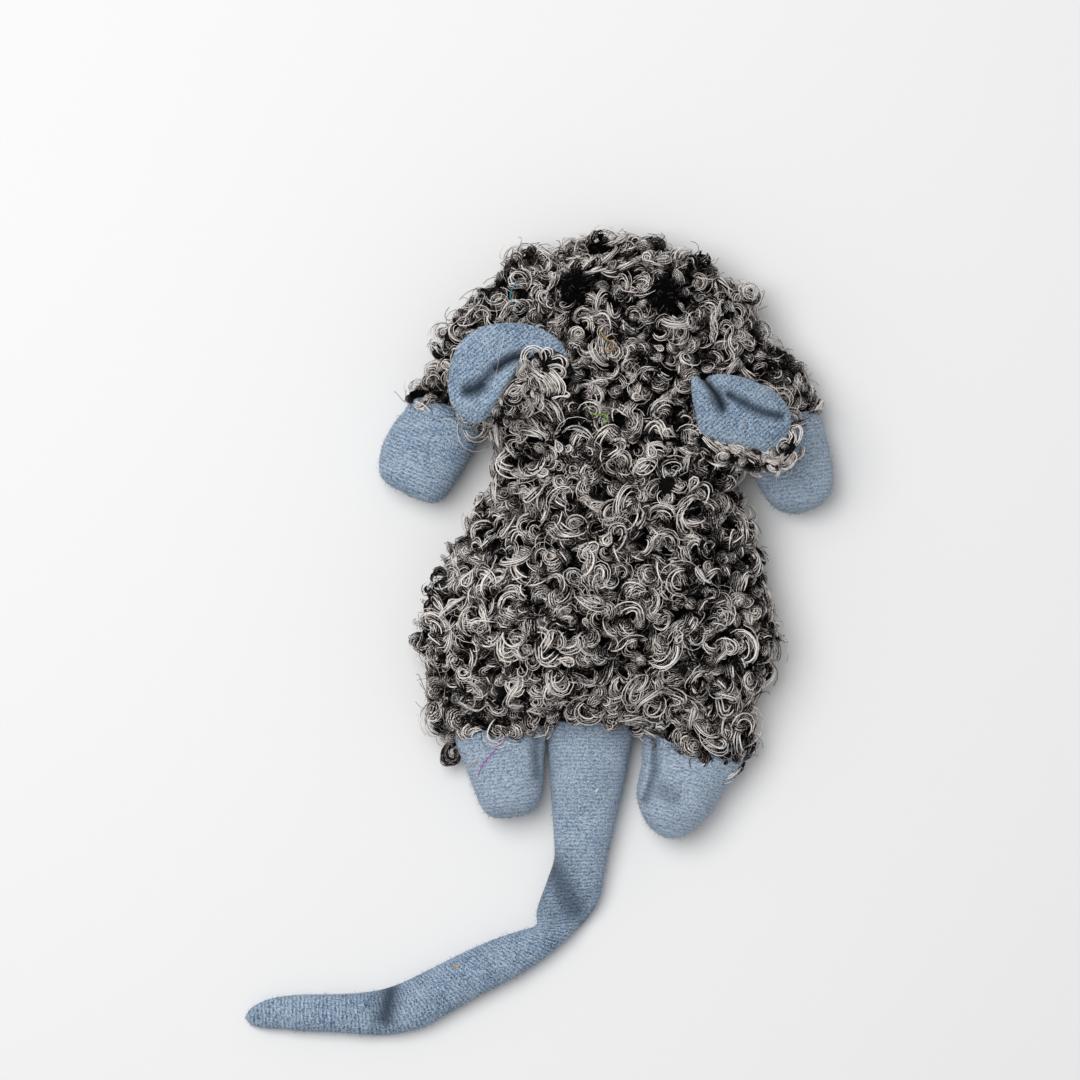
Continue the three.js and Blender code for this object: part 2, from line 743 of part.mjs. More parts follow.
// Tail: one fleece sleeve, cut where it can bend, over a light filling
const tailOuter = tailSolid(0, 14).intersect(aboveFloor).subtract(bagClearance);
const tailHollow = tailSolid(FLEECE_WALL, 8);
const tailFill = tailSolid(FLEECE_WALL + CLEARANCE, 8).intersect(tailOuter);

const pastRootNear = pastTailRoot(TAIL_ROOT_RADIUS);
const pastRootFar = pastTailRoot(TAIL_ROOT_RADIUS + CLEARANCE);
const pastMiddleNear = pastTailBend(middleBendFrame, TAIL_BEND_RADIUS);
const pastMiddleFar = pastTailBend(middleBendFrame, TAIL_BEND_RADIUS + CLEARANCE);
const pastTipNear = pastTailBend(tipBendFrame, TAIL_BEND_RADIUS);
const pastTipFar = pastTailBend(tipBendFrame, TAIL_BEND_RADIUS + CLEARANCE);

const tailStretches = [
  { name: 'tail_root', cut: (whole) => whole.subtract(pastRootNear) },
  { name: 'tail_base', cut: (whole) => whole.intersect(pastRootFar).subtract(pastMiddleNear) },
  { name: 'tail_middle', cut: (whole) => whole.intersect(pastMiddleFar).subtract(pastTipNear) },
  { name: 'tail_tip', cut: (whole) => whole.intersect(pastTipFar) },
];

function tailPieces({ name, cut }) {
  return [
    meshOf(`${name}_sleeve`, cut(tailOuter.subtract(tailHollow)), fleece),
    meshOf(`${name}_filling`, cut(tailFill), filling),
  ];
}

// Ears: a fleece lining and a curly back, folded along the ear and rounded at the root
const earThickness = EAR_LINING + EAR_BACK + CLEARANCE;
const earRootRadius = earThickness / 2;
const earMiddle = (EAR_LINING - EAR_BACK) / 2;

// A band of cloth that follows the ear's fold between two distances from its middle surface
function earBand(ear, low, high, rim) {
  const fold = smoothRows(ear.foldShares, 8);
  const rings = smoothRows(ear.spanShares, 8).map(([place, upper, lower, cup]) => {
    const droop = ear.droopShare * EAR_LENGTH * Math.max(place, 0) ** 2;
    const line = fold.map(([across, height]) => {
      const half = (across > 0 ? upper : lower) * EAR_HALF_WIDTH;
      return new THREE.Vector2(across * half, height * cup * EAR_CUP - droop);
    });
    return bandRing(line, low, high, rim).map(
      ([across, height]) => new THREE.Vector3(place * EAR_LENGTH, ear.foldSide * across, height),
    );
  });
  return solidOf(loft(rings, middleOf(rings[0]), middleOf(rings.at(-1))));
}

// A closed ring round a line, between two distances from it, its ends drawn in by a rim
function bandRing(line, low, high, rim) {
  const curve = new THREE.SplineCurve(line);
  const inset = rim / curve.getLength();
  const count = line.length;
  const places = Array.from({ length: count }, (_, k) => inset + ((1 - 2 * inset) * k) / (count - 1));
  const side = (distance) =>
    places.map((place) => {
      const point = curve.getPointAt(place);
      const along = curve.getTangentAt(place);
      return [point.x + along.y * distance, point.y - along.x * distance];
    });
  return [...side(low), ...side(high).toReversed()];
}

function earMatrix(ear) {
  const { x, y } = bodyPlace(ear.rootShares);
  const forward = new THREE.Vector3(...ear.headingShares, ear.slopeShare).normalize();
  const across = new THREE.Vector3(0, 0, 1).cross(forward).normalize();
  const outward = forward.clone().cross(across);
  const height = skinHeight(x, y) + CLEARANCE + earRootRadius - earMiddle;
  return new THREE.Matrix4().makeBasis(forward, across, outward).setPosition(x, y, height);
}

function earPieces(ear) {
  const length = EAR_LENGTH + CUT_OVERRUN;
  const box = new THREE.BoxGeometry(length, TALL, TALL);
  box.translate(length / 2, 0, 0);
  const rod = new THREE.CylinderGeometry(earRootRadius, earRootRadius, TALL, ROUND_SIDES);
  rod.translate(0, 0, earMiddle);
  const keep = solidOf(box).add(solidOf(rod));
  const place = earMatrix(ear);
  const put = (solid) => solidOf(geometryOf(solid.intersect(keep)).applyMatrix4(place));
  const lining = put(earBand(ear, halfGap, halfGap + EAR_LINING, EAR_RIM));
  const back = put(earBand(ear, -halfGap - EAR_BACK, -halfGap, 0));
  return [
    meshOf(`${ear.name}_lining`, lining.subtract(bagClearance), fleece),
    meshOf(`${ear.name}_back`, back.subtract(bagClearance), curlyCloth),
  ];
}

const group = new THREE.Group();
group.add(meshOf('back_skin', bagShell.intersect(aboveSeam), curlyCloth));
group.add(meshOf('belly_skin', bagShell.intersect(belowSeam), curlyCloth));
group.add(meshOf('upper_filling', upperFilling, filling));
group.add(meshOf('lower_filling', lowerFilling, filling));
group.add(meshOf('catnip_pouch', pouchSolid(0), pouchCloth));
eyes.forEach((eye, k) => group.add(meshOf(eye.name, eyeSolids[k], eyeCloth)));
limbs.forEach((limb, k) => group.add(...pawPieces(limb, limbFrames[k])));
tailStretches.forEach((stretch) => group.add(...tailPieces(stretch)));
ears.forEach((ear) => group.add(...earPieces(ear)));

export default group;
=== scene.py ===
import math

import bmesh
import bpy
import numpy as np
from mathutils import Matrix, Vector


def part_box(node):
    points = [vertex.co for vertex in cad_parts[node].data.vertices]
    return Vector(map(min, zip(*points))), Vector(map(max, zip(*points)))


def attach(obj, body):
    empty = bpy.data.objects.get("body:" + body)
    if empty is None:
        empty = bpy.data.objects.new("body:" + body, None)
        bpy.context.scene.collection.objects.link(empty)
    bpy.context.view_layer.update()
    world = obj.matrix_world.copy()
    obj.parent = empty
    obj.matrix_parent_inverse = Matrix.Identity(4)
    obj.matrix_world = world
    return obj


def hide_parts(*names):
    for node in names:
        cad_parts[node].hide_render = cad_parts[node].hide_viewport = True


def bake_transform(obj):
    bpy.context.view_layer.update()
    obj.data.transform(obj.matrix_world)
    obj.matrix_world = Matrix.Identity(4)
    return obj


bl_info = {
    "name": "Catnip Mouse",
    "version": (1, 0, 0),
    "blender": (4, 5, 0),
    "location": "3D View > Sidebar > Mouse",
    "description": "Curly pile and fleece of a soft catnip mouse",
    "category": "Object",
}

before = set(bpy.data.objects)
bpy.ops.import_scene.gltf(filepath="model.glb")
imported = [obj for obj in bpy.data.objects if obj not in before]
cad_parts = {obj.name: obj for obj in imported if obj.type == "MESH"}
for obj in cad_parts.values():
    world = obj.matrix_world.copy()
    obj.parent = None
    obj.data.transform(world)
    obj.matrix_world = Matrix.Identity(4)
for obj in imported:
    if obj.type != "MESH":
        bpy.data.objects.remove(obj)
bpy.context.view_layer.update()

MM = 0.001

# The photograph's scale and the pixel that lies over the toy's origin
PIXELS_PER_MM = 5.4
ORIGIN_PIXEL = (600, 600)
IMAGE_PIXELS = 1080


def mm_of(pixel):
    """A pixel of the photograph as millimetres from the toy's origin."""
    x, y = pixel
    return ((x - ORIGIN_PIXEL[0]) / PIXELS_PER_MM, (ORIGIN_PIXEL[1] - y) / PIXELS_PER_MM)


# Height of the wrists, how far a paw rises and drops from it, how full its section is and its points
# round it, and the height of its flat underside, in millimetres
WRIST_HEIGHT = 5.7
PAW_RISE = 5.4
PAW_DROP = 6.156
PAW_FULLNESS = 2.35
PAW_SIDES = 80
PAW_FLAT = 0.05

# Limbs: wrist, heading, which side is the inner one, how far the pile reaches past the wrist, how much
# pale fuzz and painted light lighten the fleece, and the paw's rows: place along it, inner and outer half
# width, and the share of its full height
LIMBS = {
    "left_front": {
        "wrist": (-26.985, 36.814), "heading": (-0.41, -0.912), "inner_side": 1, "pile_end": 4.0, "fuzz_and_painted_light": 0.05,
        "rows": [
            (1.2, 5.6, 5.6, 0.7), (2.6, 7.0, 7.3, 0.95), (5.1, 7.2, 7.7, 1.0), (8, 7.0, 8.5, 1.03),
            (12, 6.6, 8.9, 1.02), (15, 6.1, 8.45, 0.97), (17, 5.6, 7.7, 0.87), (18.2, 4.9, 6.8, 0.72),
            (18.9, 3.9, 5.5, 0.5), (19.2, 2.6, 3.7, 0.3), (19.3, 1.2, 1.7, 0.15),
        ],
    },
    "right_front": {
        "wrist": (34.195, 35.683), "heading": (0.12, -0.993), "inner_side": -1, "pile_end": 3.4, "fuzz_and_painted_light": 0.3,
        "rows": [
            (1.2, 4.8, 4.8, 0.7), (2.6, 6.6, 6.4, 0.92), (5, 7.2, 6.9, 1.0), (8, 7.5, 7.3, 1.0),
            (11.2, 7.3, 7.55, 1.0), (14.5, 6.2, 7.4, 0.95), (17, 4.9, 6.5, 0.84), (18.4, 3.8, 5.0, 0.66),
            (19.2, 2.6, 3.0, 0.42), (19.7, 1.1, 1.3, 0.2),
        ],
    },
    "left_hind": {
        "wrist": (-19.145, -21.524), "heading": (0.12, -0.993), "inner_side": 1, "pile_end": 6.6, "fuzz_and_painted_light": 0.28,
        "rows": [
            (0.4, 7.0, 7.4, 0.7), (2.2, 8.3, 8.1, 0.95), (4.8, 8.5, 8.0, 1.03), (8.7, 7.8, 6.9, 1.05),
            (12, 7.3, 6.1, 1.03), (15.4, 6.5, 5.2, 0.96), (17, 5.7, 4.6, 0.84), (18.1, 4.7, 3.8, 0.63),
            (18.65, 3.5, 2.8, 0.42), (18.85, 2.2, 1.8, 0.27), (18.9, 0.9, 0.7, 0.15),
        ],
    },
    "right_hind": {
        "wrist": (17.99, -25.016), "heading": (-0.29, -0.957), "inner_side": -1, "pile_end": 5.2, "fuzz_and_painted_light": 0.31,
        "rows": [
            (-0.8, 8.0, 8.5, 0.7), (1.2, 9.2, 9.6, 0.95), (4.2, 9.2, 9.3, 1.03), (7.85, 8.3, 8.0, 1.05),
            (12.9, 7.7, 6.7, 1.03), (15.2, 6.8, 5.7, 0.96), (17.1, 5.4, 4.6, 0.84), (18.6, 3.9, 3.2, 0.63),
            (19.4, 2.4, 1.9, 0.42), (19.8, 0.9, 0.7, 0.2),
        ],
    },
}

# Tufts that stand out of the outline: middle as a pixel, height and radius in millimetres
TUFTS = [
    ((411, 393), 8, 3.4), ((458, 553), 8, 3.5), ((530, 259), 12, 4.2), ((752, 290), 9, 3.4),
    ((429, 635), 9, 4.5), ((440, 589), 9, 4.5), ((441, 694), 8, 4.5), ((449, 719), 7, 4.2),
    ((479, 514), 9, 3.6), ((447, 354), 10, 4.3), ((453, 333), 11, 4.3), ((470, 320), 12, 4.2),
    ((487, 303), 12, 4.0), ((512, 279), 12, 4.0), ((700, 260), 12, 4.0), ((655, 252), 12, 3.8),
    ((600, 245), 12, 3.8), ((490, 731), 9.5, 4.2), ((517, 729), 9.5, 4.0), ((724, 755), 9, 4.2),
    ((705, 747), 10.5, 4.0), ((689, 743), 10.5, 4.0), ((670, 738), 10.5, 3.8),
]

# The small dark curl that hangs out of the fur beside the left hind paw: its way as pixels, its height and
# radius in millimetres, and its loose strands
CORNER_CURL = ((457, 737), (451, 743), (446, 750), (444.5, 756), (447, 761), (453, 762), (457, 758),
               (457, 752), (453, 751))
CORNER_CURL_LEVEL = 4.5
CORNER_CURL_RADIUS = 0.85
CORNER_CURL_STRANDS = 12

# How full the tail's section is and its points round it, how far it is sunk into its flat underside and
# the height of that, in millimetres
TAIL_FULLNESS = 2.15
TAIL_SIDES = 40
TAIL_SUNK = 0.45
TAIL_FLAT = 0.04

# The tail's edges as pixel pairs, left and right of its middle, with the half height in millimetres
TAIL_ROWS = [
    ((546, 690), (638, 690), 4.4), ((546, 706), (637, 706), 4.7), ((546.5, 722), (635, 722), 4.7),
    ((547.5, 745), (631.5, 745), 4.55), ((550, 780), (625, 780), 4.3), ((552.5, 815), (617, 815), 4.0),
    ((554.5, 845), (610.5, 845), 3.8), ((554, 861), (607, 860), 3.65), ((548, 880), (604, 878), 3.45),
    ((540.5, 900), (601.5, 893), 3.2), ((536.5, 914), (596.5, 907), 2.95), ((537, 924), (589, 918), 2.85),
    ((533, 928.5), (577, 931), 2.8), ((519, 932.5), (560, 947), 2.85), ((500, 938.5), (540, 963), 3.0),
    ((480, 946.5), (520, 976), 3.1), ((460, 955.5), (500, 986.5), 3.2), ((440, 965.5), (478, 998), 3.2),
    ((420, 975.5), (452, 1013), 3.15), ((400, 985), (426, 1027.5), 3.0), ((386, 990), (402, 1034.5), 2.85),
    ((372, 993), (379, 1037), 2.75), ((355, 995), (358, 1036), 2.7), ((330, 996), (330, 1034), 2.6),
    ((300, 996.5), (300, 1033), 2.45), ((280, 998.5), (280, 1031), 2.25), ((265, 1002), (266, 1030.5), 2.0),
    ((254.5, 1007), (256.5, 1029), 1.7), ((247.5, 1012.5), (249.5, 1027), 1.2),
]
TAIL_TIP = (243.5, 1020)

# Where the tail's pieces meet, and each piece: the bodies before and after its hinge, the hinge, a reach to
# both sides of it, and the stretches of CAD tail that it stands for
TAIL_CUTS = ((-4.5, -46), (-25, -70.3))
TAIL_PIECES = [
    ("tail_root_fleece", "bag", "tail_base", (-1.995, -27.013, 4.2), 4.5, ("tail_root", "tail_base")),
    ("tail_middle_fleece", "tail_base", "tail_middle", (-9.076, -61.917, 3.0), 6.0, ("tail_middle",)),
    ("tail_tip_fleece", "tail_middle", "tail_tip", (-38.758, -76.370, 3.0), 6.0, ("tail_tip",)),
]

# Ear linings: outline as pixels, clockwise, the middle that the rings close on, the folds, darkened by painted
# shade, and the crests beside them (line, width and depth or height in millimetres), and how the ear slopes
EARS = {
    "left_ear": {
        "outline": [
            (448.5, 387), (451, 367), (458, 348), (472, 334), (490, 326.3), (514, 324.5), (535, 328),
            (550, 335.5), (560, 344), (566, 354), (568, 364), (562, 369), (549, 365), (534, 363),
            (521, 369), (514, 379), (505.5, 392), (500, 403.5), (492, 415), (482, 423), (472, 423.8),
            (460, 416.5), (451.5, 404),
        ],
        "middle": (492, 366),
        "folds": [(((522, 357.5), (513, 360), (505, 364), (497, 370)), 0.9, 3.3),
                  (((497, 370), (489, 378), (482, 386)), 0.95, 2.3),
                  (((483, 386), (476, 391), (469, 392.5)), 1.2, 3.2)],
        "crests": [(((522, 369), (508.5, 385), (497.3, 397), (484, 408)), 1.7, 0.9),
                   (((550, 345), (520, 340), (490, 345), (470, 362), (462, 385), (466, 405)), 2.2, 0.5)],
        "hinge": (-8.221, 44.573, 27.188),
        "heading": (-0.92, -0.39),
        "level": 27.3,
        "slope": -0.1,
    },
    "right_ear": {
        "outline": [
            (689.6, 383), (692.3, 377.6), (696.2, 377.4), (700.6, 384), (703.6, 384.6), (705.4, 379.2),
            (711, 376.2), (723, 375.5), (739, 378),
            (756.5, 384.2), (771.3, 392.2), (782, 401.6), (788.7, 415), (788.7, 428.4), (782, 441.8),
            (768.6, 452.5), (760.5, 453.2), (741.8, 447.8), (725.7, 445.8), (712.3, 441.8),
            (701.6, 435.1), (696.3, 425.7), (693.6, 412.3), (691, 399),
        ],
        "middle": (738, 415),
        "folds": [(((699, 374), (706.5, 385), (714.5, 394.5), (720.5, 404.3), (722, 410)), 0.75, 3.4),
                  (((716, 397), (721, 407)), 1.05, 3.6),
                  (((709, 381), (718, 391), (727, 401)), 1.6, 1.0), (((734, 397), (750, 403), (766, 410)), 1.5, 0.7),
                  (((728, 396), (740, 403), (755.2, 411), (767, 415), (779.3, 417.7)), 0.8, 2.8)],
        "crests": [(((693.5, 384), (701, 396), (709, 409), (712, 418)), 1.5, 0.9),
                   (((712, 381), (730, 388), (752, 399), (775, 408)), 1.8, 0.9),
                   (((720, 430), (745, 432), (770, 430)), 2.6, 0.5)],
        "hinge": (18.416, 39.937, 25.628),
        "heading": (0.8, -0.6),
        "level": 27.0,
        "slope": -0.19,
    },
}

# An ear's two sheets: how far above the ear's own surface, how thick and how much wider than its outline,
# in millimetres; and the rings that each side of a sheet has
EAR_LINING = (0.0, 2.4, 0.0)
EAR_BACK = (-2.3, 1.6, -1.0)
EAR_RINGS = 26

# Strips of an ear's curly back that are turned up beside the lining: middle line as pixels, radius and
# height over the ear's own slope in millimetres, and the stretch that carries no curls, as shares of its
# length; and the points round a strip
STRIP_SIDES = 12
TURNED_STRIPS = {
    "left_ear": (((573, 377), (562, 366), (551, 360), (541, 360.5), (535, 371), (528, 386), (519, 400), (509, 412),
                  (497, 423)), 2.1, 0.0, (0, 0.42)),
    "right_ear": (((699, 436), (708, 446), (724, 452), (745, 457), (765, 459), (780, 454), (790, 444),
                   (793, 432)), 1.5, -1.7, (0.88, 1)),
}

# Locks that hook over an ear's turned rim: way as pixels, number of strands, spread and height over the
# ear's own slope in millimetres
EAR_LOCKS = {
    "left_ear": [
        (((524, 366), (523.6, 358), (528, 351.6), (535, 350), (540.6, 353.6), (542.4, 360), (540, 365.6)),
         3, 0.8, 2.7),
        (((541, 355), (545, 350.4), (550, 351.6), (552, 356), (549, 360)), 2, 0.5, 2.7),
        (((551, 359), (558, 357), (564, 360), (566.4, 366), (564.4, 370.4)), 3, 0.7, 2.5),
        (((548, 369), (556, 367), (562.4, 370), (563.6, 375), (560, 378), (556.4, 376)), 3, 0.6, 2.3),
        (((525, 367), (529, 374), (536, 380), (540, 388), (539, 396)), 9, 1.9, 2.3),
        (((532, 369), (538, 375), (546, 380), (552, 388), (553, 394)), 9, 1.9, 2.2),
        (((548, 372), (556, 380), (560, 388), (558, 396)), 5, 1.4, 1.8),
        (((516, 377), (520, 374), (525, 376.4), (524.4, 380), (520, 381.6), (515.6, 383), (510, 388),
          (505, 396), (504, 401)), 3, 0.5, 1.9),
        (((508, 396), (511, 390), (518, 388), (523, 391), (522, 396), (516, 398), (513, 395)), 4, 0.7, 1.9),
        (((552, 400), (560, 397.6), (567, 398), (569, 395), (564, 391)), 2, 0.3, 1.0),
        (((538, 396), (543, 402), (544.4, 407), (541, 412), (534, 416)), 2, 0.3, 0.6),
        (((524, 384), (530, 388), (534, 394), (535, 400), (532, 406)), 9, 1.7, 1.4),
        (((514, 400), (521, 402), (526, 408), (524, 416)), 6, 1.2, 1.0),
        (((506, 404), (509, 412), (514, 418), (513, 424)), 4, 0.8, 0.8),
    ],
    "right_ear": [
        (((778, 468), (785, 469.4), (792, 465), (795.6, 458), (792.4, 452.4), (788, 454)), 2, 0.3, -0.6),
        (((790, 428), (796, 427), (799.6, 431), (799, 438), (795, 444), (790, 446)), 2, 0.5, -0.3),
        (((789, 430), (792, 436), (791, 442), (787, 449)), 4, 1.2, -0.3),
        (((756, 459), (759, 456.4), (763, 458), (763.6, 462.4), (760, 465), (756.4, 463)), 2, 0.3, 0.2),
        (((703, 436), (711, 443), (719, 449), (724, 457)), 7, 1.3, 0.0),
        (((712, 440), (722, 446), (731, 451), (736, 459)), 8, 1.5, 0.0),
        (((726, 445), (736, 450), (744, 455), (748, 463)), 8, 1.5, 0.0),
        (((740, 450), (750, 454), (758, 459), (762, 466)), 8, 1.5, 0.0),
        (((753, 453), (764, 457), (774, 458), (781, 453)), 8, 1.4, 0.0),
        (((768, 459), (776, 461), (784, 458), (789, 450)), 8, 1.4, -0.2),
        (((766, 464), (770, 469), (777, 470), (782, 466)), 3, 0.5, -0.8),
    ],
}

# Stray fibres caught on the toy: way as pixels, colour, thickness in millimetres, what it lies on, its
# body; and how far above the bag's cloth one lies on the pile
PILE_LIFT = 3.4
STRAYS = {
    "purple_thread": (((505, 740), (497, 748), (489, 757), (482, 766), (478, 777)), (0.42, 0.09, 0.44), 0.12,
                      "left_hind_paw_fleece", "left_hind_paw"),
    "tan_thread": (((464, 763), (470, 764.5), (476, 762), (480, 759)), (0.5, 0.3, 0.12), 0.09,
                   "left_hind_paw_fleece", "left_hind_paw"),
    "cyan_thread": (((520, 279), (515, 286), (511, 293), (511, 300), (514, 307)), (0.01, 0.22, 0.30), 0.12,
                    "bag_ground", "bag"),
    "green_thread": (((589, 412), (596, 416), (604, 415), (607, 421), (602, 425)), (0.22, 0.42, 0.03), 0.14,
                     "bag_ground", "bag"),
    "brown_thread": (((600, 333), (606, 341), (613, 344), (611, 352), (603, 350)), (0.52, 0.27, 0.06), 0.13,
                     "bag_ground", "bag"),
    "orange_lint": (((455, 966), (457.5, 968), (459, 966.5)), (0.72, 0.36, 0.12), 0.26,
                    "tail_middle_fleece", "tail_middle"),
    "cream_lint": (((595.5, 793), (597, 790), (599, 789)), (0.85, 0.80, 0.70), 0.2,
                   "tail_root_fleece", "tail_base"),
    "red_lint": (((742, 422.5), (744, 424)), (0.55, 0.18, 0.06), 0.18, "right_ear_fleece", "right_ear"),
    "gold_lint": (((763, 393), (764.5, 394)), (0.6, 0.40, 0.08), 0.16, "right_ear_fleece", "right_ear"),
    "pale_fibre": (((505, 333), (503, 345), (499, 362), (496, 378), (494, 390)), (0.62, 0.66, 0.70), 0.075,
                   "left_ear_fleece", "left_ear"),
    "pale_fibre_low": (((520, 340), (527, 347), (534, 353)), (0.62, 0.66, 0.70), 0.06,
                       "left_ear_fleece", "left_ear"),
}

# Where the head's smaller curls begin, towards the nose, and how much smaller they are
HEAD_START = 34
HEAD_SCALE = 0.84

# CAD solids that the bag of curly fabric stands for, the size of the voxels that join them with the
# tufts, in millimetres, and the steps in which the bag is drawn in under its pile
BAG_NODES = ("back_skin", "belly_skin", "upper_filling", "lower_filling", "catnip_pouch")
BAG_VOXEL = 0.9
INSET_STEPS = 5

# Where the bag carries less pile, in millimetres: below a height, and by what share; at the wrists, by
# their half width and how far forward; in the tail's mouth, by its middle, half width, front and top;
# and at the eyes, above a height
THIN_LEVEL = 3.2
THIN_SHARE = 0.25
WRIST_BARE = (11, 12)
TAIL_MOUTH = (-1.5, 7.6, -20.2, 12.5)
EYE_LEVEL = 12

# Strength of the white that the camera sees round the toy, and how far from the toy the floor begins
# and ends turning into it, in millimetres
BACKDROP_WHITE = 0.93
FLOOR_FADES = (200.0, 750.0)

# Half the floor's width, and the key light's width and place, in metres
FLOOR_HALF = 4.0
KEY_WIDTH = 0.6
KEY_PLACE = (-0.24, 0.17, 0.72)

# The camera's sensor width, and the height over the floor at which the photograph's scale holds, both
# in millimetres
SENSOR_WIDTH = 36
SCALE_LEVEL = 10

# How much painted shade darkens a strand at the foot of the pile, from which height in millimetres down it
# darkens, and how much further it may do so under the cloth
FOOT_SHADE = 0.3
SHADE_LEVEL = 1.9
MOST_SHADED = 1.4

# Strands at least this bright are glossy filaments
GLOSSY_SHADE = 0.76

# Height in millimetres below which strands are squeezed against what the toy rests on
REST_LEVEL = 1.5

# The kinds of curl that the pile is mixed from
CURL_KINDS = ["puff"] * 8 + ["looped"] * 6 + ["loop"] * 4 + ["wave"] * 2 + ["dark"] * 3

# Bands of the bag along Y that carry one mesh of curls each, so that none has too many faces, and a band
# in metres that holds the whole toy
CURL_BANDS = 12
EVERYWHERE = (-1.0, 1.0)

# Eyes: middle as a pixel, how wide the pile is parted round it, and the pad's radii in millimetres
EYES = {"left_eye": ((576, 291), 3.0), "right_eye": ((663.5, 296), 2.5)}
EYE_RADII = (2.7, 2.9, 1.5)

# Dents pressed into the fleece above a height: line as pixels, width and depth in millimetres, and how
# much painted shade darkens it
PAW_DENT_LEVEL = 3.42
TAIL_DENT_LEVEL = 2.4
PAW_DENTS = {
    "left_hind": [(((537, 735), (538, 775)), 0.9, 1.3, 0.45)],
    "right_hind": [(((655, 742), (655, 771), (650, 789), (645, 801)), 0.75, 1.5, 0.6),
                   (((660, 789), (673, 797)), 1.7, 1.2, 0.45)],
}
TAIL_DENTS = [
    (((553, 870), (574, 911)), 2.9, 2.0, 0.75), (((541, 900), (556, 921)), 1.8, 0.7, 0.3),
    (((390, 992), (385, 1020)), 2.0, 1.1, 0.9), (((374, 1000), (378, 1030)), 1.6, 0.4, 0.35),
]


def length_choice(name, description, default):
    return bpy.props.FloatProperty(name=name, description=description, default=default * MM, unit="LENGTH")


def colour_choice(name, description, *default):
    return bpy.props.FloatVectorProperty(
        name=name, description=description, subtype="COLOR", size=3, default=default)


class PileSettings(bpy.types.PropertyGroup):
    """Sizes and shades of the curly pile."""

    base_inset: length_choice("Base inset", "Depth of the cloth below the average pile", 2.5)
    spacing: length_choice("Ringlet spacing", "Least distance between two ringlets", 2.15)
    fluff_spacing: length_choice("Fluff spacing", "Least distance between two loose hairs", 1.3)
    black: colour_choice("Black", "The pile's darkest fibres", 0.0015, 0.0015, 0.0015)
    grey: colour_choice("Grey", "The pile's soft grey fibres", 0.240, 0.206, 0.190)
    white: colour_choice("White", "The pile's glossy white filaments", 0.95, 0.895, 0.855)


class FleeceSettings(bpy.types.PropertyGroup):
    """Sizes and colours of the fleece."""

    light: colour_choice("Light", "Lightest yarn of the fleece", 0.36, 0.445, 0.545)
    middle: colour_choice("Middle", "Main colour of the fleece", 0.190, 0.283, 0.405)
    dark: colour_choice("Dark", "Darkest yarn of the fleece", 0.08, 0.132, 0.21)
    row_height: length_choice("Knit row", "Height of one knitted row", 0.72)
    nap_spacing: length_choice("Nap spacing", "Least distance between two raised fibres", 0.62)


class StageSettings(bpy.types.PropertyGroup):
    """Floor, light and camera."""

    floor_colour: colour_choice("Floor", "Colour of the floor", 0.84, 0.84, 0.84)
    camera_height: length_choice("Camera height", "Height of the camera over the floor", 2000)
    key_power: bpy.props.FloatProperty(
        name="Key light", description="Power of the soft key light", default=4.5, unit="POWER")
    sky_strength: bpy.props.FloatProperty(
        name="Sky", description="Strength of the even light from all round", default=0.45)


def settings(name):
    return getattr(bpy.context.scene, name)


# Shader building


class Value:
    """A node's output whose arithmetic adds Math nodes."""

    def __init__(self, tree, socket):
        self.tree = tree
        self.socket = socket

    def beside(self, output):
        """Another output of the same node."""
        return Value(self.tree, self.socket.node.outputs[output])

    def math(self, operation, *others):
        node = self.tree.nodes.new("ShaderNodeMath")
        node.operation = operation
        for slot, value in zip(node.inputs, (self, *others)):
            connect(self.tree, value, slot)
        return Value(self.tree, node.outputs[0])

    def __add__(self, other):
        return self.math("ADD", other)

    __radd__ = __add__

    def __mul__(self, other):
        return self.math("MULTIPLY", other)

    __rmul__ = __mul__

    def __sub__(self, other):
        return self.math("SUBTRACT", other)

    def __rsub__(self, other):
        return (self * -1) + other

    def __pow__(self, other):
        return self.math("POWER", other)


def connect(tree, value, slot):
    """Links a value to a socket, or sets the socket to a plain number, colour or vector."""
    if isinstance(value, Value):
        tree.links.new(value.socket, slot)
    else:
        slot.default_value = value


class Nodes:
    """A node tree under construction: one method adds any node."""

    def __init__(self, tree):
        self.tree = tree

    def node(self, kind, output=0, sockets=None, stops=None, **choices):
        node = self.tree.nodes.new(kind)
        for key, choice in choices.items():
            setattr(node, key, choice)
        if stops:
            ramp = node.color_ramp
            while len(ramp.elements) < len(stops):
                ramp.elements.new(0.5)
            for element, (place, colour) in zip(ramp.elements, stops):
                element.position = place
                element.color = (*colour, 1)
        for key, value in (sockets or {}).items():
            connect(self.tree, value, node.inputs[key])
        return Value(self.tree, node.outputs[output])


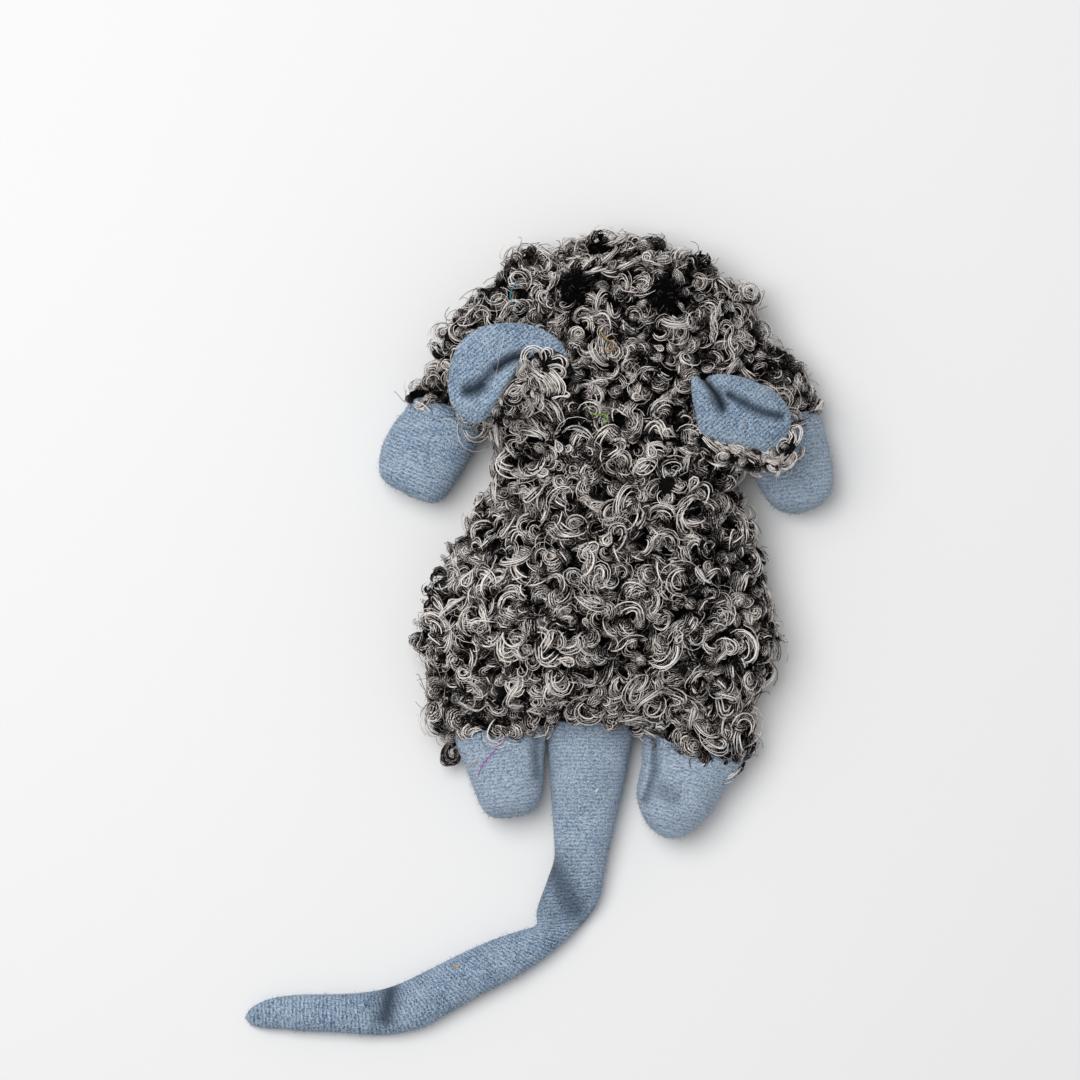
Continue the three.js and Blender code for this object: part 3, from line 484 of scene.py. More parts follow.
class Recipe(Nodes):
    """A material, or the world's light, under construction."""

    def __init__(self, name, kinds="materials"):
        self.owner = getattr(bpy.data, kinds).new(name)
        self.owner.use_nodes = True
        super().__init__(self.owner.node_tree)
        self.shader = self.tree.nodes["Principled BSDF" if kinds == "materials" else "Background"]

    def place(self):
        """Object coordinates in millimetres."""
        spot = self.node("ShaderNodeTexCoord", "Object")
        return self.node("ShaderNodeVectorMath", operation="SCALE", sockets={0: spot, "Scale": 1 / MM})

    def number(self, name):
        """A number that is stored with each point."""
        return self.node("ShaderNodeAttribute", "Fac", attribute_name=name)

    def noise(self, vector, scale, detail=2.0, roughness=0.5):
        found = {"Vector": vector, "Scale": scale, "Detail": detail, "Roughness": roughness}
        return self.node("ShaderNodeTexNoise", sockets=found)

    def ramp(self, factor, *stops):
        return self.node("ShaderNodeValToRGB", stops=stops, sockets={"Fac": factor})

    def blend(self, factor, low, high):
        """One colour over another by a factor."""
        return self.node("ShaderNodeMix", 2, data_type="RGBA", sockets={0: factor, 6: low, 7: high})

    def bump(self, height, distance, strength=1.0):
        sockets = {"Height": height, "Distance": distance, "Strength": strength}
        return self.node("ShaderNodeBump", sockets=sockets)

    def finish(self, **sockets):
        for key, value in sockets.items():
            connect(self.tree, value, self.shader.inputs[key.replace("_", " ")])
        return self.owner

    def seen_white(self, kind, strength, share=1.0):
        """Plain white for the camera alone, over the shader made so far."""
        seen = self.node("ShaderNodeLightPath", "Is Camera Ray") * share
        white = self.node(kind, sockets={"Color": (1, 1, 1, 1), "Strength": strength})
        below = Value(self.tree, self.shader.outputs[0])
        both = self.node("ShaderNodeMixShader", sockets={0: seen, 1: below, 2: white})
        output = next(node for node in self.tree.nodes if node.type.startswith("OUTPUT"))
        connect(self.tree, both, output.inputs["Surface"])


BLACK, WHITE = (0, 0, 0), (1, 1, 1)


def mixed(low, high, share):
    """A colour between two."""
    return tuple(a + (b - a) * share for a, b in zip(low, high))


def pile_material():
    """Soft fibres from black to light grey; a matted lock or whorl shows the fine strands it is made of."""
    pile = settings("mouse_pile")
    recipe = Recipe("curly_pile")
    shade, tone, matted = (recipe.number(name) for name in ("shade", "tone", "matted"))
    place = recipe.place()
    spot = recipe.noise(place, 2.2, 2.0, 0.6)
    strands = strand_lines(recipe, place)
    patch = recipe.noise(place, 0.5, 1.0)
    loose = (spot - 0.5) * 0.75
    clump = strands * 0.62 + (patch - 0.5) * 0.45 - 0.385
    level = shade + (tone - 0.5) * 0.3 + loose + matted * clump
    colour = recipe.ramp(level, *pile_stops(pile))
    normal = recipe.bump((strands + spot) * matted, 0.2 * MM, 0.7)
    return recipe.finish(Base_Color=colour, Roughness=0.85, Specular_IOR_Level=0.1, Normal=normal)


def strand_lines(recipe, place):
    """Fine strands that run along a lock, frayed and crossed by slow noise."""
    slow = recipe.noise(place, 0.8, 3.0, 0.68)
    wave = (recipe.number("strand") * math.tau + slow * 14.0).math("SINE")
    return (wave * 0.5 + 0.5) ** 1.6


def pile_stops(pile):
    """The pile's colours against its shade, from the darkest fibre to the whitest."""
    black, grey, white = tuple(pile.black), tuple(pile.grey), tuple(pile.white)
    return [(0.0, black), (0.31, mixed(black, grey, 0.012)), (0.42, mixed(black, grey, 0.24)),
            (0.55, mixed(black, grey, 0.95)), (0.68, mixed(grey, white, 0.42)), (0.84, white)]


def filament_material():
    """Glossy white filaments of the pile."""
    pile = settings("mouse_pile")
    recipe = Recipe("pile_filament")
    shade, tone = recipe.number("shade"), recipe.number("tone")
    spot = recipe.noise(recipe.place(), 0.9, 2.0, 0.5)
    level = shade + (tone - 0.5) * 0.2 + (spot - 0.5) * 0.7
    colour = recipe.ramp(level, *pile_stops(pile))
    return recipe.finish(Base_Color=colour, Roughness=0.38, Specular_IOR_Level=0.5)


def cloth_material():
    """The dark ground under the pile, with a few strands matted into it."""
    pile = settings("mouse_pile")
    recipe = Recipe("pile_ground")
    place = recipe.place()
    patch = recipe.noise(place, 0.45, 1.0)
    strands = strand_lines(recipe, place)
    colour = recipe.ramp(strands * 0.55 * patch + patch * 0.1, *pile_stops(pile))
    normal = recipe.bump(strands, 0.2 * MM)
    return recipe.finish(Base_Color=colour, Roughness=1.0, Specular_IOR_Level=0.0, Normal=normal)


def fleece_material():
    """Heathered knit with a brushed nap, its rows along the piece's own knit map, lightened by pale fuzz and painted
    light, and darkened by painted shade in its creases.
    """
    fleece = settings("mouse_fleece")
    recipe = Recipe("fleece")
    place = recipe.place()
    knit = recipe.node("ShaderNodeUVMap", uv_map="knit")
    around = recipe.node("ShaderNodeSeparateXYZ", sockets={0: knit})
    along = around.beside(1)
    row = fleece.row_height / MM
    wander = recipe.noise(place, 0.7, 1.0)
    stitch = ((along + wander * 0.7) * (math.tau / row)).math("SINE")
    loop = ((around + along * 0.7 + wander) * (math.tau / (0.8 * row))).math("SINE")
    stretched = recipe.node("ShaderNodeCombineXYZ", sockets={0: around * 1.15, 1: along * 1.6, 2: wander * 0.5})
    heather = recipe.noise(stretched, 2.1, 2.0, 0.66)
    speckle = recipe.noise(place, 4.6, 1.0, 0.6)
    cloud = recipe.noise(place, 0.16, 1.0)
    level = heather * 0.55 + speckle * 0.45 + stitch * 0.04 + stitch * loop * 0.035 + (cloud - 0.5) * 0.12
    light, middle, dark = tuple(fleece.light), tuple(fleece.middle), tuple(fleece.dark)
    colour = recipe.ramp(level, (0.38, mixed(dark, BLACK, 0.4)), (0.457, mixed(dark, middle, 0.72)),
                         (0.527, mixed(middle, light, 0.4)), (0.62, mixed(light, WHITE, 0.18)))
    mottle = heather + speckle
    # Pale fuzz and painted light lighten the fleece, and painted shade darkens its creases
    lightened = recipe.blend(recipe.number("fuzz_and_painted_light") * mottle * mottle, colour, (*mixed(light, WHITE, 0.2), 1))
    shaded = recipe.blend(recipe.number("crease_shade"), lightened, (*mixed(dark, BLACK, 0.72), 1))
    height = heather * 0.6 + speckle * 0.45 + stitch * 0.2 + stitch * loop * 0.15
    normal = recipe.bump(height, 0.16 * MM, 0.8)
    return recipe.finish(
        Base_Color=shaded, Roughness=0.95, Specular_IOR_Level=0.2, Normal=normal, Sheen_Weight=0.22,
        Sheen_Roughness=0.5, Sheen_Tint=(*mixed(light, WHITE, 0.4), 1))


def nap_material():
    """Raised fibres of the fleece, a little lighter than the cloth."""
    fleece = settings("mouse_fleece")
    recipe = Recipe("fleece_nap")
    light, middle = tuple(fleece.light), tuple(fleece.middle)
    colour = recipe.ramp(recipe.number("tone"), (0.0, mixed(middle, light, 0.1)), (0.6, light),
                         (1.0, mixed(light, WHITE, 0.3)))
    return recipe.finish(Base_Color=colour, Roughness=0.8)


def eye_material():
    """Matte black pile of the eyes."""
    recipe = Recipe("eye_black")
    colour = recipe.ramp(recipe.number("tone"), (0.0, (0.0015, 0.0015, 0.0015)),
                         (0.7, (0.005, 0.005, 0.0055)), (1.0, (0.1, 0.095, 0.09)))
    return recipe.finish(Base_Color=colour, Roughness=1.0, Specular_IOR_Level=0.05)


def thread_material(name, colour):
    """A streaked thread or speck of lint."""
    recipe = Recipe(name)
    streak = recipe.noise(recipe.place(), 3.0, 1.0)
    shown = recipe.ramp(streak, (0.3, mixed(colour, BLACK, 0.25)), (0.7, colour))
    return recipe.finish(Base_Color=shown, Roughness=0.5)


_materials = {}


def material(name, maker, *arguments):
    """A material by name, made on its first use."""
    if name not in _materials:
        _materials[name] = maker(*arguments)
    return _materials[name]


# Mesh building


def place_object(name, mesh, finish=None):
    """A smooth object in the scene."""
    mesh.polygons.foreach_set("use_smooth", [True] * len(mesh.polygons))
    if finish is not None:
        mesh.materials.append(finish)
    thing = bpy.data.objects.new(name, mesh)
    bpy.context.scene.collection.objects.link(thing)
    return thing


def mesh_of(name, points, faces):
    """A mesh from points in millimetres."""
    mesh = bpy.data.meshes.new(name)
    mesh.from_pydata((np.asarray(points, float) * MM).tolist(), [], faces)
    mesh.update()
    return mesh


def knit_object(name, points, faces, knit, finish=None):
    """A piece with a knit map, of fleece unless it has another finish."""
    mesh = mesh_of(name, points, faces)
    layer = mesh.uv_layers.new(name="knit")
    corner = np.empty(len(mesh.loops), np.int32)
    mesh.loops.foreach_get("vertex_index", corner)
    layer.data.foreach_set("uv", np.asarray(knit, np.float32)[corner].ravel())
    return place_object(name, mesh, finish or material("fleece", fleece_material))


def mesh_from(bm, name):
    """A mesh from bmesh data, which is then freed."""
    mesh = bpy.data.meshes.new(name)
    bm.to_mesh(mesh)
    bm.free()
    return mesh


def face_outwards(thing):
    """Turns every face of a closed piece outwards."""
    bm = bmesh.new()
    bm.from_mesh(thing.data)
    bmesh.ops.recalc_face_normals(bm, faces=bm.faces)
    bm.to_mesh(thing.data)
    bm.free()


def store(mesh, name, values):
    """A number for each point of a mesh."""
    attribute = mesh.attributes.get(name) or mesh.attributes.new(name, "FLOAT", "POINT")
    attribute.data.foreach_set("value", np.asarray(values, np.float32))


def points_of(mesh):
    """A mesh's points in metres."""
    found = np.empty(len(mesh.vertices) * 3)
    mesh.vertices.foreach_get("co", found)
    return found.reshape(-1, 3)


def smooth_rows(rows, per_row):
    """Catmull-Rom curves through the columns of a table."""
    rows = np.asarray(rows, float)
    padded = np.vstack([2 * rows[0] - rows[1], rows, 2 * rows[-1] - rows[-2]])
    found = []
    for k in range(1, len(padded) - 2):
        a, b, c, d = padded[k - 1], padded[k], padded[k + 1], padded[k + 2]
        for step in range(per_row):
            t = step / per_row
            found.append(0.5 * (2 * b + (c - a) * t + (2 * a - 5 * b + 4 * c - d) * t * t
                                + (3 * b - a - 3 * c + d) * t ** 3))
    found.append(padded[-2])
    return np.array(found)


def circle(sides):
    """Angles evenly spread round a ring."""
    return np.arange(sides) * math.tau / sides


def ring_quads(rings, sides):
    """Quads between closed rings of points."""
    faces = []
    for start in range(0, (rings - 1) * sides, sides):
        for k in range(sides):
            a, b = start + k, start + (k + 1) % sides
            faces.append((a, b, b + sides, a + sides))
    return faces


def loft_faces(rings, sides):
    """Quads between rings, and a fan at each end round the two points after them."""
    faces = ring_quads(rings, sides)
    start, end, last = rings * sides, rings * sides + 1, (rings - 1) * sides
    for k in range(sides):
        n = (k + 1) % sides
        faces += [(start, n, k), (end, last + k, last + n)]
    return faces


def tube(line, radius, sides):
    """Points and faces of a closed tube round a line, its radius a number or one for each point."""
    line = np.asarray(line, float)
    count = len(line)
    tangent = np.gradient(line, axis=0)
    tangent /= np.linalg.norm(tangent, axis=1)[:, None] + 1e-12
    normal = np.cross(tangent[0], (0.3, 0.2, 0.93))
    normals = []
    for t in tangent:
        normal = normal - t * (normal @ t)
        normal = normal / (np.linalg.norm(normal) + 1e-12)
        normals.append(normal)
    normals = np.array(normals)
    others = np.cross(tangent, normals)
    angle = circle(sides)
    ring = normals[:, None] * np.cos(angle)[None, :, None] + others[:, None] * np.sin(angle)[None, :, None]
    points = line[:, None] + ring * np.broadcast_to(radius, count)[:, None, None]
    caps = [tuple(range(sides))[::-1], tuple(range((count - 1) * sides, count * sides))]
    return points.reshape(-1, 3), ring_quads(count, sides) + caps


def swell(t, least, power):
    """A strand's girth along its way, from its least share at both ends to 1 in the middle."""
    return least + (1 - least) * np.sin(math.pi * t) ** power


class Bundle:
    """Closed shapes gathered into one mesh, each point with its shade, whether it is matted and its strand."""

    def __init__(self):
        self.points, self.faces, self.count = [], [], 0
        self.numbers = {"shade": [], "matted": [], "strand": []}

    def put(self, points, faces, shade, matted=0.0, strand=0.0):
        """A shape, with painted shade that darkens it the deeper it lies in the pile."""
        shade = shade - FOOT_SHADE * np.clip(1 - points[:, 2] / SHADE_LEVEL, 0, MOST_SHADED)
        self.points.append(points)
        self.faces += [tuple(i + self.count for i in face) for face in faces]
        for key, value in (("shade", shade), ("matted", matted), ("strand", strand)):
            self.numbers[key].append(np.broadcast_to(value, len(points)))
        self.count += len(points)

    def add(self, line, radius, sides, shade):
        """A strand."""
        self.put(*tube(line, radius, sides), shade)

    def lock(self, line, radius, shade, sides=7):
        """A matted lock, its strands running along it."""
        points, faces = tube(line, radius * swell(np.linspace(0, 1, len(line)), 0.35, 0.6), sides)
        around = np.abs(1 - 2 * np.arange(sides) / sides) * radius * 5.5
        self.put(points, faces, shade, 1.0, np.tile(around, len(line)))

    def whorl(self, radius, height, middle, lean, shade, rings=6, sides=11):
        """A matted whorl, flattened along its leaning axis, its strands winding round that axis."""
        lat = np.linspace(-math.pi / 2, math.pi / 2, rings + 2)[1:-1]
        points = np.array([(radius * math.cos(v) * math.cos(a), radius * math.cos(v) * math.sin(a),
                            height * math.sin(v)) for v in lat for a in circle(sides)])
        points = np.vstack([points, (0, 0, -height), (0, 0, height)])
        points = points @ lean.T + middle
        strand = np.concatenate([np.repeat(lat, sides), (-math.pi / 2, math.pi / 2)]) * radius * 1.9
        self.put(points, loft_faces(rings, sides), shade, 1.0, strand)

    def mesh(self, name):
        """One mesh of all the shapes, with their numbers."""
        mesh = mesh_of(name, np.vstack(self.points), self.faces)
        for key, values in self.numbers.items():
            store(mesh, key, np.concatenate(values))
        return mesh

    def copied_in(self, collection, name):
        """Keeps the shapes as one object that is only copied, outside the scene."""
        collection.objects.link(bpy.data.objects.new(name, self.mesh(name)))

    def piece(self, name, finish):
        """Makes the shapes a piece of the toy."""
        thing = place_object(name, self.mesh(name), finish)
        face_outwards(thing)
        return thing


# Ringlets


def lean_matrix(rng, most):
    """A rotation that leans the upright axis by up to an angle, any way round."""
    way = rng.uniform(0, math.tau)
    tilt = rng.uniform(0.25, 1) * most
    return np.array(Matrix.Rotation(way, 3, "Z") @ Matrix.Rotation(tilt, 3, "X"))


class Lock:
    """The way a lock takes: out of the cloth, round one or two bends and back."""

    def __init__(self, rng, length, sweep, wave, rise, count=13):
        self.t = np.linspace(0, 1, count)
        start = rng.uniform(0, math.tau)
        way = rng.choice([-1, 1])
        tighter = rng.uniform(-0.5, 0.9)
        turn = start + way * (sweep * (self.t + tighter * 0.3 * self.t ** 2)
                              + wave * np.sin(math.tau * self.t)
                              + rng.uniform(0, 0.35) * np.sin(self.t * rng.uniform(6, 12)))
        step = np.stack([np.cos(turn), np.sin(turn)], axis=1) * length / (count - 1)
        flat = np.cumsum(step, axis=0)
        flat -= (flat.max(axis=0) + flat.min(axis=0)) / 2
        height = rise * np.sin(math.pi * (0.1 + 0.82 * self.t)) ** 0.8
        self.line = np.column_stack([flat, height])
        self.side = np.column_stack([-np.sin(turn), np.cos(turn), np.zeros(count)])

    def strand(self, rng, offset, lift, first=0, last=None, flare=0.0, stray=0.06):
        """A strand beside the way that spreads and strays from it."""
        t = self.t
        spread = offset * (1 + flare * (t - 0.5)) + stray * np.sin(t * rng.uniform(4, 9) + rng.uniform(0, 6))
        rise = lift + stray * 1.5 * np.sin(t * rng.uniform(3, 8) + rng.uniform(0, 6))
        line = self.line + self.side * spread[:, None]
        line[:, 2] += rise
        return line[first:last]


def ringlet(rng, kind):
    """One curl of the pile: fuzzy whorl, bright loop, wavy lock or dark tangle."""
    bundle = Bundle()
    if kind in ("puff", "looped"):
        puff(rng, bundle, 1.0 if kind == "puff" else 0.85)
    if kind == "dark":
        for _ in range(2):
            lock = Lock(rng, rng.uniform(4.0, 6.5), rng.uniform(3, 6), rng.uniform(0, 0.6),
                        rng.uniform(0.8, 2.0), 10)
            soft(rng, bundle, lock, 3, 0.7, 0.02, 0.4)
            bundle.lock(lock.line, rng.uniform(0.4, 0.6), rng.uniform(0.3, 0.44))
    elif kind != "puff":
        if kind == "wave":
            lock = Lock(rng, rng.uniform(5.5, 8.5), rng.uniform(-1.2, 1.2), rng.uniform(1.0, 1.9),
                        rng.uniform(1.7, 2.6))
        else:
            lock = Lock(rng, rng.uniform(6.5, 10.5), rng.uniform(3.6, 6.2), rng.uniform(0, 0.4),
                        2.6 if kind == "looped" else 2.0)
        bright(rng, bundle, lock, rng.choice((1, 2, 3), p=(0.35, 0.4, 0.25)))
        soft(rng, bundle, lock, 6, 0.6)
        if kind != "looped":
            bundle.lock(lock.line[1:-1] - (0, 0, 0.35), rng.uniform(0.38, 0.62), rng.uniform(0.36, 0.56))
    return bundle


def bright(rng, bundle, lock, number):
    """Bright filaments side by side along a lock."""
    gap = rng.uniform(0.45, 0.8)
    for k in range(number):
        offset = (k - (number - 1) / 2) * gap + rng.normal(0, 0.1)
        first, last = rng.integers(0, 4), -rng.integers(1, 4)
        line = lock.strand(rng, offset, 0.35 - 0.4 * offset * offset, first, last,
                           rng.uniform(-1.6, 1.6), 0.16)
        girth = rng.uniform(0.09, 0.165) * swell(np.linspace(0, 1, len(line)), 0.4, 0.5)
        bundle.add(line, girth, 3, rng.uniform(0.84, 1.15))


def soft(rng, bundle, lock, number, spread, low=0.3, high=0.9):
    """Fine fibres that keep loosely to a lock."""
    for _ in range(number):
        first = rng.integers(0, 6)
        line = lock.strand(rng, rng.normal(0, spread), rng.normal(0.1, 0.3), first, first + rng.integers(6, 8),
                           rng.uniform(-2, 2), 0.25)
        bundle.add(line + rng.normal(0, 0.08, 3), rng.uniform(0.045, 0.08), 3, rng.uniform(low, high))


def puff(rng, bundle, scale):
    """A fuzzy whorl of matted fibres with loose ones over it."""
    radius, height = rng.uniform(1.35, 2.1) * scale, rng.uniform(1.0, 1.35) * scale
    lean = lean_matrix(rng, 1.4)
    middle = np.array((0, 0, 0.85))
    bundle.whorl(radius * 0.95, height * 0.95, middle, lean, rng.uniform(0.40, 0.60))
    for k in range(19):
        lat = rng.uniform(-0.15, 1.3)
        angle = rng.uniform(0, math.tau) + np.linspace(0, rng.uniform(1.0, 2.6), 6)
        grow = rng.uniform(1.0, 1.22) + 0.06 * np.sin(angle * rng.uniform(1, 4))
        lats = lat + rng.uniform(-0.7, 0.7) * np.linspace(-1, 1, 6)
        out = radius * grow * np.cos(lats)
        line = np.stack([out * np.cos(angle), out * np.sin(angle), height * grow * np.sin(lats)], axis=1)
        white = k < rng.integers(0, 3)
        shade = rng.uniform(0.9, 1.1) if white else rng.uniform(0.35, 0.9)
        size = rng.uniform(0.1, 0.14) if white else rng.uniform(0.045, 0.07)
        bundle.add(line @ lean.T + middle, size, 3, shade)


def hair(rng, length, radius):
    """A short bent fibre that rises from the cloth."""
    bundle = Bundle()
    t = np.linspace(0, 1, 5)
    bend = rng.uniform(-0.7, 0.7, 2)
    line = np.stack([bend[0] * length * t ** 2, bend[1] * length * t ** 2,
                     length * t * (1 - 0.25 * t)], axis=1)
    bundle.add(line, radius * (1 - 0.6 * t), 3, rng.uniform(0.1, 0.75))
    return bundle


def curl_hair(rng, size, radius):
    """A loose fine fibre with a curl in it."""
    bundle = Bundle()
    t = np.linspace(0, 1, 7)
    turn = rng.uniform(0.3, 0.9) * math.tau * t + rng.uniform(0, 6)
    line = np.stack([size * np.cos(turn), size * np.sin(turn), size * (0.4 + 1.6 * t)], axis=1)
    bundle.add(line, radius, 3, rng.uniform(0.15, 0.8))
    return bundle


def shape_set(name, seed, count, make):
    """A collection of shapes that are only copied, made on its first use."""
    if name not in bpy.data.collections:
        shapes = bpy.data.collections.new(name)
        rng = np.random.default_rng(seed)
        for k in range(count):
            make(rng, k).copied_in(shapes, f"{name}_{k:02d}")
    return bpy.data.collections[name]


def ringlets():
    """The curls of the pile."""
    return shape_set("ringlet_shapes", 7, len(CURL_KINDS), lambda rng, k: ringlet(rng, CURL_KINDS[k]))


def fluff():
    """The loose hairs between the curls."""
    return shape_set("fluff_shapes", 11, 8,
                     lambda rng, k: curl_hair(rng, rng.uniform(0.6, 1.3), rng.uniform(0.035, 0.06)))


def nap_hairs():
    """The raised fibres of the fleece."""
    return shape_set("nap_shapes", 5, 5, lambda rng, k: hair(rng, rng.uniform(0.4, 0.9), 0.048))


def eye_hairs():
    """The pile of the eyes."""
    return shape_set("eye_shapes", 3, 4, lambda rng, k: hair(rng, rng.uniform(0.9, 1.4), 0.07))


# Geometry nodes


class Graph(Nodes):
    """A geometry node tree under construction."""

    def __init__(self, name):
        super().__init__(bpy.data.node_groups.new(name, "GeometryNodeTree"))
        self.tree.is_modifier = True
        for way in ("INPUT", "OUTPUT"):
            self.tree.interface.new_socket("Geometry", in_out=way, socket_type="NodeSocketGeometry")
        self.source = self.tree.nodes.new("NodeGroupInput")
        self.result = self.tree.nodes.new("NodeGroupOutput")

    def size(self, name, kind, default=None):
        """A named input of the tree."""
        socket = self.tree.interface.new_socket(name, in_out="INPUT", socket_type=f"NodeSocket{kind}")
        if default is not None:
            socket.default_value = default
        return Value(self.tree, self.source.outputs[name])

    def compare(self, operation, first, second):
        return self.node("FunctionNodeCompare", 0, {0: first, 1: second}, data_type="FLOAT",
                         operation=operation)

    def stored(self, name):
        return self.node("GeometryNodeInputNamedAttribute", sockets={"Name": name}, data_type="FLOAT")


def scatter_tree(name):
    """Copies of a collection's shapes scattered over a surface, within a band along Y."""
    graph = Graph(name)
    shapes = graph.size("Shapes", "Collection")
    spacing = graph.size("Spacing", "Float", 0.003)
    low = graph.size("Band start", "Float", EVERYWHERE[0])
    high = graph.size("Band end", "Float", EVERYWHERE[1])
    least = graph.size("Least scale", "Float", 0.8)
    most = graph.size("Most scale", "Float", 1.2)
    tilt = graph.size("Tilt", "Float", 0.5)
    seed = graph.size("Seed", "Int", 1)
    finish = graph.size("Material", "Material")
    gloss = graph.size("Bright material", "Material")
    points = graph.node("GeometryNodeDistributePointsOnFaces", "Points", distribute_method="POISSON", sockets={
        "Mesh": Value(graph.tree, graph.source.outputs["Geometry"]), "Distance Min": spacing,
        "Density Max": 4.0e6, "Density Factor": graph.stored("pile"), "Seed": seed})
    along = graph.node("ShaderNodeSeparateXYZ", 1, {0: graph.node("GeometryNodeInputPosition")})
    inside = graph.node("FunctionNodeBooleanMath", 0, {
        0: graph.compare("GREATER_EQUAL", along, low), 1: graph.compare("LESS_THAN", along, high)}, operation="AND")
    number = graph.node("GeometryNodeInputIndex")
    back = tilt * -1.0
    lean_low = graph.node("ShaderNodeCombineXYZ", 0, {0: back, 1: back, 2: -math.pi})
    lean_high = graph.node("ShaderNodeCombineXYZ", 0, {0: tilt, 1: tilt, 2: math.pi})
    lean = graph.node("FunctionNodeRandomValue", 0, {0: lean_low, 1: lean_high, "ID": number, "Seed": 3},
                      data_type="FLOAT_VECTOR")
    facing = graph.node("FunctionNodeRotateRotation", 0, {
        "Rotation": points.beside("Rotation"), "Rotate By": graph.node("FunctionNodeEulerToRotation", 0, {0: lean})},
        rotation_space="LOCAL")
    size = graph.node("FunctionNodeRandomValue", 1, {2: least, 3: most, "ID": number, "Seed": 5}, data_type="FLOAT")
    group = graph.node("GeometryNodeCollectionInfo", 0,
                       {"Collection": shapes, "Separate Children": True, "Reset Children": True})
    placed = graph.node("GeometryNodeInstanceOnPoints", 0, {
        "Points": points, "Selection": inside, "Instance": group, "Pick Instance": True,
        "Rotation": facing, "Scale": size})
    tone = graph.node("FunctionNodeRandomValue", 1, {2: 0.0, 3: 1.0, "Seed": 11}, data_type="FLOAT")
    toned = graph.node("GeometryNodeStoreNamedAttribute", 0, {"Geometry": placed, "Name": "tone", "Value": tone},
                       data_type="FLOAT", domain="INSTANCE")
    real = graph.node("GeometryNodeRealizeInstances", 0, {"Geometry": toned})
    finished = graph.node("GeometryNodeSetMaterial", 0, {"Geometry": real, "Material": finish})
    light = graph.compare("GREATER_THAN", graph.stored("shade"), GLOSSY_SHADE)
    shone = graph.node("GeometryNodeSetMaterial", 0, {"Geometry": finished, "Selection": light, "Material": gloss})
    connect(graph.tree, shone, graph.result.inputs[0])
    return graph.tree


def scattered(name, base, shapes, finish, gloss=None, **sizes):
    """A plain mesh of shapes scattered over a base object, the brightest strands in a glossy material."""
    tree = bpy.data.node_groups.get("scatter_shapes") or scatter_tree("scatter_shapes")
    carrier = place_object(f"{name}_carrier", base.data.copy())
    modifier = carrier.modifiers.new("Scatter", "NODES")
    modifier.node_group = tree
    values = {"Shapes": shapes, "Material": finish, "Bright material": gloss or finish,
              **{key.replace("_", " "): value for key, value in sizes.items()}}
    for item in tree.interface.items_tree:
        if item.in_out == "INPUT" and item.name in values:
            modifier[item.identifier] = values[item.name]
    mesh = bpy.data.meshes.new_from_object(carrier.evaluated_get(bpy.context.evaluated_depsgraph_get()))
    mesh.name = name
    points = points_of(mesh)
    low = REST_LEVEL * MM
    points[:, 2] = np.where(points[:, 2] < low, low * np.exp((points[:, 2] - low) / low), points[:, 2])
    mesh.vertices.foreach_set("co", points.ravel())
    spare = carrier.data
    bpy.data.objects.remove(carrier)
    bpy.data.meshes.remove(spare)
    return place_object(name, mesh)


# Shared shapes of the limbs


def limb_frame(limb):
    """Wrist, forward direction and the direction away from the trunk, in the floor's plane."""
    forward = np.array((*limb["heading"], 0.0))
    forward /= np.linalg.norm(forward)
    left = np.array((-forward[1], forward[0], 0.0))
    return np.array((*limb["wrist"], WRIST_HEIGHT)), forward, left


def superellipse(sides, full):
    """Points round an ellipse that is fuller than an oval: their angle, cosine and sine."""
    angle = circle(sides)
    c, s = np.cos(angle), np.sin(angle)
    return angle, np.sign(c) * np.abs(c) ** (2 / full), np.sign(s) * np.abs(s) ** (2 / full)


def carry(body, slot, *things):
    """Pieces that ride on a body; the slot is not used."""
    for thing in things:
        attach(thing, body)


def smooth(bm, times, factor):
    """Draws every point towards its neighbours."""
    for _ in range(times):
        bmesh.ops.smooth_vert(bm, verts=bm.verts, factor=factor, use_axis_x=True, use_axis_y=True, use_axis_z=True)
    bm.normal_update()


class BagOperator(bpy.types.Operator):
    """Makes the bag of dark cloth under the pile, for the body, head and limbs."""

    bl_idname = "mouse.bag"
    bl_label = "Bag"

    def execute(self, context):
        pile = settings("mouse_pile")
        bm = bmesh.new()
        for name in (*BAG_NODES, *EYES):
            bm.from_mesh(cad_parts[name].data)
        bmesh.ops.remove_doubles(bm, verts=bm.verts, dist=1e-6)
        for spot, height, radius in TUFTS:
            place = Matrix.Translation(Vector((*mm_of(spot), height)) * MM)
            bmesh.ops.create_icosphere(bm, subdivisions=2, radius=radius * MM, matrix=place)
        bag = place_object("bag_ground", mesh_from(bm, "bag_ground"))
        remesh = bag.modifiers.new("Voxels", "REMESH")
        remesh.mode = "VOXEL"
        remesh.voxel_size = BAG_VOXEL * MM
        solid = bpy.data.meshes.new_from_object(bag.evaluated_get(context.evaluated_depsgraph_get()))
        bag.modifiers.clear()
        bm = bmesh.new()
        bm.from_mesh(solid)
        keep_largest(bm)
        smooth(bm, 8, 0.5)
        for _ in range(INSET_STEPS):
            for vert in bm.verts:
                vert.co -= vert.normal * (pile.base_inset / INSET_STEPS)
            smooth(bm, 1, 0.3)
        bm.to_mesh(solid)
        bm.free()
        solid.name = "bag_ground"
        bag.data = solid
        solid.polygons.foreach_set("use_smooth", [True] * len(solid.polygons))
        solid.materials.clear()
        solid.materials.append(material("ground", cloth_material))
        store(solid, "pile", pile_density(points_of(solid) / MM))
        carry("bag", "curly_fabric", bag)
        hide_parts(*BAG_NODES)
        return {"FINISHED"}


def keep_largest(bm):
    """Drops every island of a mesh but the one with the most faces."""
    left = set(bm.verts)
    islands = []
    while left:
        start = left.pop()
        island, border = {start}, [start]
        while border:
            vert = border.pop()
            for edge in vert.link_edges:
                other = edge.other_vert(vert)
                if other in left:
                    left.discard(other)
                    island.add(other)
                    border.append(other)
        islands.append(island)
    for island in sorted(islands, key=len)[:-1]:
        bmesh.ops.delete(bm, geom=list(island), context="VERTS")


